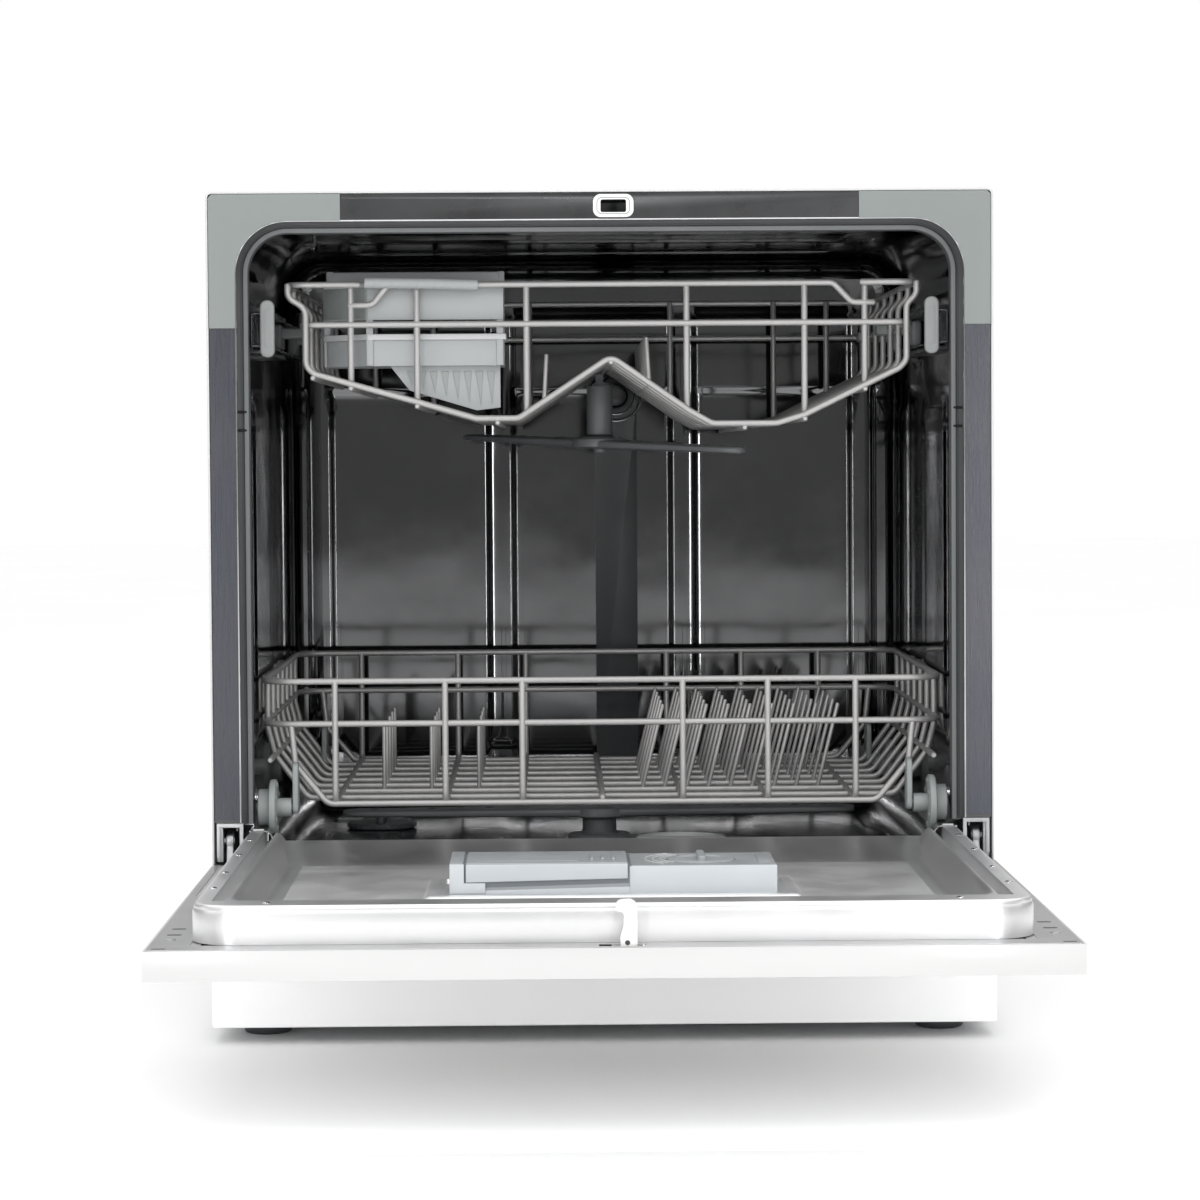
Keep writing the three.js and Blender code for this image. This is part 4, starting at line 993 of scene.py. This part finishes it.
def build_arms():
    M = Mesh()
    cx, cy, zc = 2.0, 215.0, 418.5
    t = math.tan(math.radians(2.5))
    # the blades lie along -49 degrees and its opposite; +X end lower
    blade(M, cx, cy, zc, -49, 148, 16.2, 9.5, 4.0, 7, -t * 0.92, 0, 5, 1)
    blade(M, cx, cy, zc, 131, 148, 16.2, 9.5, 4.0, 7, t * 0.92, 0, 5, 1)
    lathe(M, [(5.3, 414.8), (17, 414.8), (20.6, 416.2), (21, 418.6), (20.2, 421.8), (17, 423.4), (9, 424.0), (5.3, 424.0)], "z", (cx, cy, 0), 48)
    lathe(M, [(5.4, 423.8), (9.6, 423.8), (10, 424.6), (9.4, 425.3), (5.4, 425.3)], "z", (cx, cy, 0), 32, 1)
    M.make("upper_arm_moulded", [MAT["armgrey"], MAT["dark"]], "upper_spray_arm_body", "upper_spray_arm", sharp=40)
    M = Mesh()
    cx, cy, zc = 0.0, 230.0, 137.6
    blade(M, cx, cy, zc, 0, 196, 18.6, 11, 4.3, 5, 0.0, 0, 6, 1)
    blade(M, cx, cy, zc, 180, 196, 18.6, 11, 4.3, 5, 0.0, 0, 6, 1)
    lathe(M, [(6.4, 133.2), (20, 133.2), (23, 134.6), (23.4, 137.6), (22.6, 140.6), (19, 142.2), (6.4, 142.4)], "z", (cx, cy, 0), 48)
    M.make("lower_arm_moulded", [MAT["armgrey"], MAT["dark"]], "lower_spray_arm_body", "lower_spray_arm", sharp=40)
    refine("upper_feed_pipe", MAT["armgrey"], 0.7, 2)


def build_lower_rack():
    M = Mesh()
    r = 2.3
    rack_loop(M, -242, 242, 42, 404, 250, 24, r, 12)
    rack_loop(M, -241.5, 241.5, 43, 403, 219.6, 24, r, 12)
    for y in range(88, 365, 46):
        wire(M, [(-242, y, 250), (-242, y, 214), (-237, y, 194), (-213, y, 162.6), (213, y, 162.6), (237, y, 194), (242, y, 214), (242, y, 250)], r, 9, 12, steps=4)
    for y in (44, 402):
        wire(M, [(-222, y, 219.5), (-219, y, 190), (-196, y, 162.4), (196, y, 162.4), (219, y, 190), (222, y, 219.5)], r, 9, 12, steps=4)
    for x in (-190.5, -112, -57, 57.5, 118.3, 181):
        pts = [(x, 42, 250), (x, 42, 163), (x, 404, 163), (x, 404, 250)]
        wire(M, pts, r, 8, 12, steps=4)
    wire(M, [(0, 44, 165.8), (0, 402, 165.8)], r, 4, 12)
    for s in (-1, 1):
        wire(M, [(237 * s, 42, 194), (237 * s, 404, 194)], r, 4, 12)
    # plate tines
    for y in (134, 180, 226, 272, 318):
        for i in range(9):
            x = 30 + 16.2 * i
            wire(M, [(x, y, 161), (x + 16.0, y, 225.0)], 1.5, 4, 8)
        for x in (-160, -125, -90):
            wire(M, [(x, y, 161), (x, y, 211)], 1.5, 4, 8)
    # axle carriers and stubs
    for s in (-1, 1):
        for y in (36, 370):
            x0, x1 = sorted((216.6 * s, 220.5 * s))
            b = Mesh()
            prism(M, rrect(y - 13 if y > 100 else y - 5.5, y + 13, 156.2, 192.8, 5, 6), x0, x1, "x", 0.8, 2, 1)
            prof = [(0, min(217 * s, 246.4 * s)), (2.9, min(217 * s, 246.4 * s)), (2.9, max(217 * s, 246.4 * s)), (0, max(217 * s, 246.4 * s))]
            lathe(M, prof, "x", (0, y, 161), 20, 1)
    M.make("lower_rack_wires", [MAT["wire"], MAT["grey"]], "lower_rack_body", "lower_rack", sharp=50)

    for s, n in ((-1, "left"), (1, "right")):
        for y, e in ((36, "front"), (370, "rear")):
            M = Mesh()
            p = [(3.4, 221.4), (6.5, 221.4), (6.6, 222), (6.6, 231.4), (18.4, 231.6), (19.8, 232.4), (20, 234), (19.6, 236.2), (18.6, 237.0), (13.4, 237.2), (13.0, 238), (13.0, 244.2), (12.2, 244.9), (9.6, 244.9), (9.0, 243.6), (5.2, 243.6), (4.8, 244.8), (3.4, 244.8)]
            lathe(M, [(a, s * b) for a, b in p], "x", (0, y, 161), 48)
            for k in range(6):
                a = 2 * math.pi * (k + 0.5) / 6
                cx, cz = y + 15.4 * math.cos(a), 161 + 15.4 * math.sin(a)
                x0, x1 = sorted((s * 231.0, s * 231.9))
                lathe(M, [(0, x0), (2.0, x0), (2.0, x1), (0, x1)], "x", (0, cx, cz), 14)
            M.make("wheel_%s_%s_turned" % (e, n), MAT["grey"], "rack_wheel_%s_%s_body" % (e, n), "rack_wheel_%s_%s" % (e, n), sharp=40)


# ------------------------------------------------------------------ door
def build_liner():
    M = Mesh()
    ax = [215.0, 217, 219, 221, 223, 225, 227, 228.4, 229.2, 230.0, 230.6, 231.2, 232.5, 235, 236.6, 237.4, 237.9, 238.4, 239.2, 241, 244, 246.5, 247.4, 248.1, 248.6, 249.0]
    xs = sorted(set([-a for a in ax] + ax + list(np.round(np.linspace(-212, 212, 96), 2)) + [-102.4, 107.4, -106, -110, -113, -116, -119, -122, 111, 114, 117, 120, 124, 128, 132]))
    ys = sorted(set([-417.5, -417.1, -416.6, -415.9, -415, -413, -410, -406, -402, -398.5, -396, -394.4, -393.6, -393, -392.2, -391, -389.5, -388, -386.5, -385.4, -384.6, -383.6, -382, -380, -376] + list(np.round(np.linspace(-372, -80, 66), 2)) + [-77, -74, -71, -68, -64, -60, -56, -50, -44, -36, -28, -20, -12, -6, -3, -1.0] + [-235.4, -163.6, -239, -242, -245, -248, -251, -160, -157, -154, -151, -148]))
    XS, YS = np.array(xs), np.array(ys)
    X, Y = np.meshgrid(XS, YS, indexing="ij")
    A = np.abs(X)
    floor = np.interp(Y, [-417, -77, -57, -1], [129.0, 129.0, 130.6, 141.0])
    # side: slope, ridge, gasket seat, flat rim
    slope = 129 + 17.6 * step(A, 214.5, 229.2)
    # rounded recess corner
    qx, qy = A - (214.5 - 20), (-384 + 20) - Y
    corner = (qx > 0) & (qy > 0)
    dist = np.hypot(np.maximum(qx, 0), np.maximum(qy, 0)) - 20
    lin = np.maximum(A - 214.5, (-384 - Y) * 1.35)
    dd = np.where(corner, dist, lin)
    recess = 129 + 17.6 * step(dd, 0, 14.2)
    seat = np.where((A > 230.2) & (A < 237.9) & (Y > -392), 1.0, 0.0)
    seatz = 139.2 + 7.4 * (1 - step(A, 230.0, 231.2)) + 8.5 * step(A, 237.2, 238.2)
    rim = 147.7 * np.ones_like(A)
    Zt = np.where(A <= 230.0, np.maximum(recess, floor), np.where(A < 238.2, np.maximum(seatz, floor), rim))
    front = step(-Y, 385.0, 392.5)
    Zt = Zt * (1 - front) + np.maximum(Zt, 147.7) * front
    # softened outer edge
    d = np.minimum(249.0 - A, Y + 417.5)
    ease = np.where(d < 2.5, 2.5 - np.sqrt(np.maximum(0, 2.5 ** 2 - (2.5 - d) ** 2)), 0)
    Zt = Zt - ease
    # pressed frame round the dispenser and two long beads
    u = np.maximum(np.maximum(-102.4 - X, X - 107.4), np.maximum(-235.4 - Y, Y + 163.6))
    bead = step(u, 4, 6.5) * (1 - step(u, 13, 16.5))
    Zt = Zt + 2.6 * bead * (A < 200)
    for x0 in (-165, 165):
        k = step(X, x0 - 22, x0 - 17) * (1 - step(X, x0 + 17, x0 + 22)) * step(Y, -362, -357) * (1 - step(Y, -100, -95))
        Zt = Zt - 1.1 * k
    # rounded outer corners
    XX, YY = X.copy(), Y.copy()
    c = (A > 223) & (Y < -391.5)
    uu, vv = (A - 223) / 26.0, (-391.5 - Y) / 26.0
    XX = np.where(c, np.sign(X) * (223 + 26 * uu * np.sqrt(np.maximum(0, 1 - vv ** 2 / 2))), X)
    YY = np.where(c, -391.5 - 26 * vv * np.sqrt(np.maximum(0, 1 - uu ** 2 / 2)), Y)
    V = np.stack([XX, YY, Zt], -1).reshape(-1, 3).tolist()
    nx, ny = len(XS), len(YS)
    F, floor_faces_painted_light = [], []
    for i in range(nx - 1):
        for j in range(ny - 1):
            cx, cy = (XS[i] + XS[i + 1]) / 2, (YS[j] + YS[j + 1]) / 2
            if -102.4 < cx < 107.4 and -235.4 < cy < -163.6:
                continue
            (floor_faces_painted_light if abs(cx) < 208 and -378 < cy < -62 else F).append((i * ny + j, (i + 1) * ny + j, (i + 1) * ny + j + 1, i * ny + j + 1))
    # skirt
    rimline = [(i * ny) for i in range(nx)]
    left = [j for j in range(ny)]
    right = [(nx - 1) * ny + j for j in range(ny)]
    path = left[::-1] + rimline[1:-1] + right
    for drop in (142.0, 136.0, 130.0, 124.6):
        base = len(V)
        for q in path:
            x, y, z = V[q]
            V.append((x, y, min(z - 0.5, drop)))
        for q in range(len(path) - 1):
            F.append((path[q], path[q + 1], base + q + 1, base + q))
        path = [base + q for q in range(len(path))]
    thicken(V, F, 0.8, 0, M)
    # recess floor faces in the lighter liner floor steel: painted light
    thicken(V, floor_faces_painted_light, 0.8, 1, M)
    M.make("liner_pressed", [MAT["liner"], MAT["linerfloor"]], "door", "door_liner", sharp=38)

    # small pressed marks of the sheet at its front corners and rivets along the rim
    M = Mesh()
    for s in (-1, 1):
        for k, y in enumerate((-330, -250, -150, -60)):
            lathe(M, [(0, 147.5), (2.6, 147.5), (2.5, 148.0), (1.6, 148.4), (0, 148.5)], "z", (243.4 * s, y, 0), 16)
        lathe(M, [(0, 147.5), (2.6, 147.5), (2.5, 148.0), (1.6, 148.4), (0, 148.5)], "z", (205 * s, -405, 0), 16)
    M.make("liner_rivets", MAT["chrome"], "door")


def build_door():
    refine("door_outer_panel", MAT["paint"], 0.9, 3)
    for n in ("left", "right"):
        refine("hinge_arm_" + n, MAT["galv"], 0.5)
    refine("control_fascia", MAT["fascia"], 0.7, 3)
    refine("display_window", MAT["black"], 0.4, 2)
    for n in ("power", "program", "start"):
        x = {"power": -225, "program": 190, "start": 225}[n]
        M = Mesh()
        lathe(M, [(0, 105.9), (3.6, 105.8), (6.2, 105.35), (7.4, 105.5), (8.0, 106.4), (8.0, 110.3), (0, 110.3)], "z", (x, -392, 0), 40)
        M.make(n + "_button_turned", MAT["white"], n + "_button_body", n + "_button")
        # ring round each button
        M = Mesh()
        lathe(M, [(8.5, 105.9), (9.6, 105.9), (9.9, 106.2), (9.6, 106.6), (8.5, 106.6)], "z", (x, -392, 0), 40)
        M.make(n + "_button_bezel", MAT["chrome"], "door")

    M = Mesh()
    slot = [rrect(-1.6, 18.2, -435.4, -425.2, 1.5, 4)[::-1]]
    prism(M, rrect(-273.4, 273.4, -437.2, -417.9, 1.0, 3), 124.02, 124.5, "z", 0.12, 1, 0, holes=slot)
    for s in (-1, 1):
        def q(x0, x1, y0, y1):
            a, b = sorted((x0 * s, x1 * s))
            prism(M, rrect(a, b, y0, y1, 0.6, 3), 124.02, 124.5, "z", 0.12, 1)
        q(249.3, 273.4, -417.9, -180)
        q(249.3, 257.6, -180, -3)
        q(269.0, 273.4, -180, -3)
        for y in (-343, -370):
            a, b = sorted((258.5 * s, 267.5 * s))
            prism(M, rrect(a, b, y - 2.1, y + 2.1, 2.0, 6), 124.3, 124.62, "z", 0.1, 1, 1)
        lathe(M, [(0, 124.3), (3.1, 124.3), (3.1, 124.9), (2.2, 125.2), (0, 125.2)], "z", (263 * s, -392, 0), 20, 0)
        a, b = sorted((262.0 * s, 270.5 * s))
        prism(M, rrect(a, b, -432.5, -429.6, 1.3, 6), 124.3, 124.62, "z", 0.1, 1, 1)
    M.make("door_inner_sheet", [MAT["sheet"], MAT["dark"]], "door", sharp=40)

    # dispenser
    # dispenser body in the darker top plastic, its tops thus in painted shade; front plates keep the lighter plastic
    refine("dispenser_body", MAT["bluetop"], 0.7, 3)
    M = Mesh()
    # frame strip and bracket on its left, a dark plate in the gap under the lid as painted shade, arcs by the knob
    prism(M, [(-101.6, -234.4), (-93.2, -234.4), (-93.2, -170), (-101.6, -170)], 150.2, 151.0, "z", 0.3, 2, 3)
    prism(M, [(-101.8, 131.5), (-79, 131.5), (-79, 138.3), (-92.6, 138.3), (-92.6, 150.3), (-101.8, 150.3)], -237.2, -235.2, "y", 0.5, 2, 0)
    prism(M, [(-92.4, 134.8), (12.6, 137.4), (12.6, 150.2), (-92.4, 150.2)], -235.3, -234.9, "y", 0.05, 1, 1)
    prism(M, [(13.2, 130.8), (107.2, 130.8), (107.2, 148.4), (13.2, 148.4)], -236.0, -234.8, "y", 0.4, 2, 0)
    prism(M, [(-79, 130.8), (13.2, 130.8), (13.2, 135.2), (-79, 133.4)], -236.0, -234.8, "y", 0.3, 2, 0)
    for rad in (26.5, 31.5, 36.5):
        pts = [(60 + rad * math.cos(math.radians(a)), -200 + rad * math.sin(math.radians(a)), 148.7) for a in range(126, 236, 10)]
        V, F = sweep(pts, circle(0.55, 8))
        M.add(V, F, 2)
    # dark strip in the gap beside the lid: painted shade
    rbox(M, 12.6, 14.2, -236, -170, 148.0, 149.0, 0.3, 1, 1)
    rbox(M, 96, 104, -222, -178, 148.2, 149.2, 0.8, 2, 3)
    M.make("dispenser_details", [MAT["blue"], MAT["blue_gap_painted_shade"], MAT["pale"], MAT["bluetop"]], "door")
    M = Mesh()
    # lid top in the darker top plastic as painted shade, its front lip lighter
    prism(M, rrect(-91.4, 11.8, -236.8, -170.3, 1.6, 5), 148.95, 150.9, "z", 0.75, 3)
    prism(M, [(-91.4, 138.6), (11.8, 140.6), (11.8, 150.0), (-91.4, 150.0)], -237.6, -235.7, "y", 0.5, 3, 1)
    for x in (-11, -4, 3):
        rbox(M, x - 1.3, x + 1.3, -223.6, -202.4, 150.4, 152.3, 0.9, 3)
    rbox(M, -84, -20, -226.4, -223.8, 150.7, 151.4, 0.3, 2)
    M.make("dispenser_lid_moulded", [MAT["bluetop"], MAT["lid"]], "dispenser_lid_body", "dispenser_lid")
    M = Mesh()
    # cap in the darker top plastic: painted shade
    lathe(M, [(0, 143.1), (21.9, 143.1), (21.9, 147.6), (21.2, 148.8), (19.6, 149.4), (16.8, 149.5), (15.8, 148.6), (0, 148.6)], "z", (60, -200, 0), 64)
    prism(M, rrect(57.5, 62.5, -219, -181, 2.4, 8), 147.6, 152.5, "z", 1.1, 3)
    M.make("rinse_cap_turned", MAT["bluetop"], "rinse_aid_cap_body", "rinse_aid_cap")

    # latch hook: rounded top, open slot, tip to the left
    M = Mesh()
    pts = [(4.6, 113.2), (13.2, 113.2), (13.2, 147.0)] + arc(8.0, 146.6, 5.2, 4, 100, 8) + arc(4.6, 147.6, 4.0, 110, 176, 5) + [(0.9, 144.8), (4.6, 144.0), (5.4, 142.2), (5.2, 136.0), (3.2, 129.0), (3.4, 124.2), (4.6, 120)]
    prism(M, pts, -432.8, -428.2, "y", 0.5, 2)
    # raised edges on its face, and its pin hole drawn as a dark disc of painted shade
    rim = [(2.2, -432.9, 145.8), (4.4, -432.9, 149.6), (7.6, -432.9, 150.9), (11.2, -432.9, 149.0), (12.3, -432.9, 146.0), (12.3, -432.9, 125.0)]
    V, F = sweep(fillet(rim, 3, 4), circle(0.42, 8))
    M.add(V, F, 0)
    rim = [(5.9, -432.9, 142.5), (5.9, -432.9, 136.0), (4.0, -432.9, 129.0), (4.0, -432.9, 125.0)]
    V, F = sweep(fillet(rim, 2, 3), circle(0.38, 8))
    M.add(V, F, 0)
    lathe(M, [(0, -433.0), (1.5, -433.0), (1.5, -432.2), (0, -432.2)], "y", (7.4, 0, 126.2), 18, 1)
    M.make("latch_hook_moulded", [MAT["white"], MAT["dark"]], "latch_hook_body", "latch_hook", sharp=38)
    M = Mesh()
    rbox(M, 16.3, 17.4, -434.3, -426.2, 123.4, 124.6, 0.3, 2)
    # dark block and disc: painted shadow of the recess the hook stands in
    rbox(M, -9.5, -1.6, -434.2, -426.4, 123.6, 124.5, 0.3, 1, 1)
    lathe(M, [(0, 123.9), (3.0, 123.9), (3.0, 124.35), (2.2, 124.45), (0, 124.3)], "z", (-6.0, -421.4 - 9, 0), 20, 1)
    M.make("latch_surround", [MAT["white"], MAT["dark"]], "door")


# ------------------------------------------------------------------ light, floor, world
def area(name, at, to, sx, sy, power, col=(1, 1, 1), shine=True):
    li = bpy.data.lights.new(name, "AREA")
    li.shape = "RECTANGLE"
    li.size, li.size_y, li.energy, li.color = sx, sy, power, col
    ob = bpy.data.objects.new(name, li)
    scene.collection.objects.link(ob)
    ob.location = at
    ob.visible_glossy = shine
    ob.visible_camera = False
    d = Vector(to) - Vector(at)
    ob.rotation_euler = d.to_track_quat("-Z", "Y").to_euler()
    return ob


def surroundings():
    w = bpy.data.worlds.new("studio")
    scene.world = w
    w.use_nodes = True
    t = w.node_tree
    t.nodes.clear()
    out = t.nodes.new("ShaderNodeOutputWorld")
    co = t.nodes.new("ShaderNodeTexCoord")
    sep = t.nodes.new("ShaderNodeSeparateXYZ")
    t.links.new(co.outputs["Generated"], sep.inputs["Vector"])
    up = t.nodes.new("ShaderNodeMapRange")
    up.interpolation_type = "SMOOTHSTEP"
    for k, v in (("From Min", 0.0), ("From Max", 0.7), ("To Min", 0.30), ("To Max", 1.1)):
        up.inputs[k].default_value = v
    t.links.new(sep.outputs["Z"], up.inputs["Value"])
    soft = t.nodes.new("ShaderNodeBackground")
    t.links.new(up.outputs["Result"], soft.inputs["Strength"])
    soft.inputs["Color"].default_value = (1, 1, 1, 1)
    white = t.nodes.new("ShaderNodeBackground")
    white.inputs["Color"].default_value = (1, 1, 1, 1)
    white.inputs["Strength"].default_value = 1.0
    even = t.nodes.new("ShaderNodeBackground")
    even.inputs["Color"].default_value = (1, 1, 1, 1)
    even.inputs["Strength"].default_value = 1.1
    lp = t.nodes.new("ShaderNodeLightPath")
    m1 = t.nodes.new("ShaderNodeMixShader")
    t.links.new(lp.outputs["Is Diffuse Ray"], m1.inputs["Fac"])
    t.links.new(soft.outputs["Background"], m1.inputs[1])
    t.links.new(even.outputs["Background"], m1.inputs[2])
    mix = t.nodes.new("ShaderNodeMixShader")
    t.links.new(lp.outputs["Is Camera Ray"], mix.inputs["Fac"])
    t.links.new(m1.outputs["Shader"], mix.inputs[1])
    t.links.new(white.outputs["Background"], mix.inputs[2])
    t.links.new(mix.outputs["Shader"], out.inputs["Surface"])

    me = bpy.data.meshes.new("floor")
    me.from_pydata([(-12, -9, 0), (12, -9, 0), (12, 14, 0), (-12, 14, 0)], [], [(0, 1, 2, 3)])
    fl = bpy.data.objects.new("floor", me)
    scene.collection.objects.link(fl)
    m = Mat("floor_white")
    m.set(Roughness=0.9)
    m.b.inputs["Specular IOR Level"].default_value = 0.1
    m.colour(m.noise(2, 2, 0.5), (0.93, 0.93, 0.93), (0.96, 0.96, 0.96))
    me.materials.append(m.m)

    area("key", (0.3, -1.9, 2.3), (0, 0.0, 0.35), 2.2, 1.2, 5)
    area("left", (-2.3, -0.9, 1.3), (0, 0, 0.35), 1.2, 1.6, 3)
    area("right", (2.3, -0.6, 1.4), (0, 0, 0.35), 1.2, 1.6, 2)
    area("top", (0, 0.3, 2.6), (0, 0.1, 0), 2.4, 2.0, 12)
    area("low", (0, -1.7, 0.22), (0, 0, 0.06), 1.8, 0.3, 1.0, shine=False)
    area("under", (0, -0.44, 0.035), (0, 0, 0.06), 1.3, 0.05, 0.42, shine=False)
    area("spark_left", (-0.85, -2.2, 0.45), (0, 0.2, 0.40), 0.07, 0.9, 5)
    area("spark_right", (0.80, -2.3, 0.45), (0, 0.2, 0.40), 0.07, 0.9, 5)
    area("spark_high", (0.1, -2.3, 1.9), (0, 0.2, 0.5), 0.7, 0.06, 4)
    scene.view_settings.view_transform = "Standard"


# plinth white far brighter than the cabinet paint, to cancel the shade the door casts: painted light
MAT["plinth"] = plastic("plinth_white_painted_light", (0.90, 0.90, 0.90), (0.93, 0.93, 0.93), 0.4, 0.5, 500, 0.04)
MAT["cover"] = plastic("cover_plastic", (0.215, 0.24, 0.232), (0.24, 0.265, 0.257), 0.4, 0.5)
MAT["pale2"] = plastic("basket_plastic", (0.34, 0.355, 0.362), (0.385, 0.40, 0.407), 0.38, 0.5)
MAT["white2"] = plastic("basket_rim_plastic", (0.50, 0.51, 0.515), (0.54, 0.55, 0.555), 0.34, 0.45)
MAT["lid"] = plastic("lid_plastic", (0.50, 0.535, 0.56), (0.54, 0.575, 0.60), 0.28, 0.4, 700, 0.05)
MAT["wire"].node_tree.nodes["Principled BSDF"].inputs["Metallic"].default_value = 0.62
# lighter copy of the liner steel for the recess floor: painted light
MAT["linerfloor"] = steel("liner_floor_steel_painted_light", (0.84, 0.84, 0.845), (0.90, 0.90, 0.905), 0.40, 0.52, (1, 1, 1), 0.02, 0.03)
# lighter copy of the tub steel for the tub floor: painted light
MAT["tubfloor"] = steel("tub_floor_steel_painted_light", (0.36, 0.36, 0.365), (0.46, 0.46, 0.465), 0.10, 0.18, (1, 1, 1), 0.02, 0.10)
# darker copy of the dispenser plastic for top faces: painted shade
MAT["bluetop"] = plastic("dispenser_top_painted_shade", (0.32, 0.34, 0.355), (0.36, 0.38, 0.395), 0.28, 0.4, 700, 0.05)
MAT["cap"] = plastic("stop_cap_plastic", (0.25, 0.26, 0.26), (0.285, 0.295, 0.295), 0.38, 0.5)
MAT["sheet"] = steel("door_sheet", (0.54, 0.54, 0.545), (0.61, 0.61, 0.615), 0.30, 0.42, (1, 1, 1), 0.03)
# side strips: dark steel tinted blue to brown, a painted reflection of the surroundings
MAT["side"] = steel("side_flange", (0.07, 0.076, 0.096), (0.105, 0.102, 0.108), 0.24, 0.32, (60, 1, 1.2), 0.05)
MAT["mesh"] = steel("filter_mesh", (0.30, 0.30, 0.31), (0.42, 0.42, 0.43), 0.3, 0.45, (1, 1, 1), 0.05)

build_cabinet()
build_tub()
build_sump()
build_upper_rack()
build_basket()
build_arms()
build_lower_rack()
build_liner()
build_door()
surroundings()
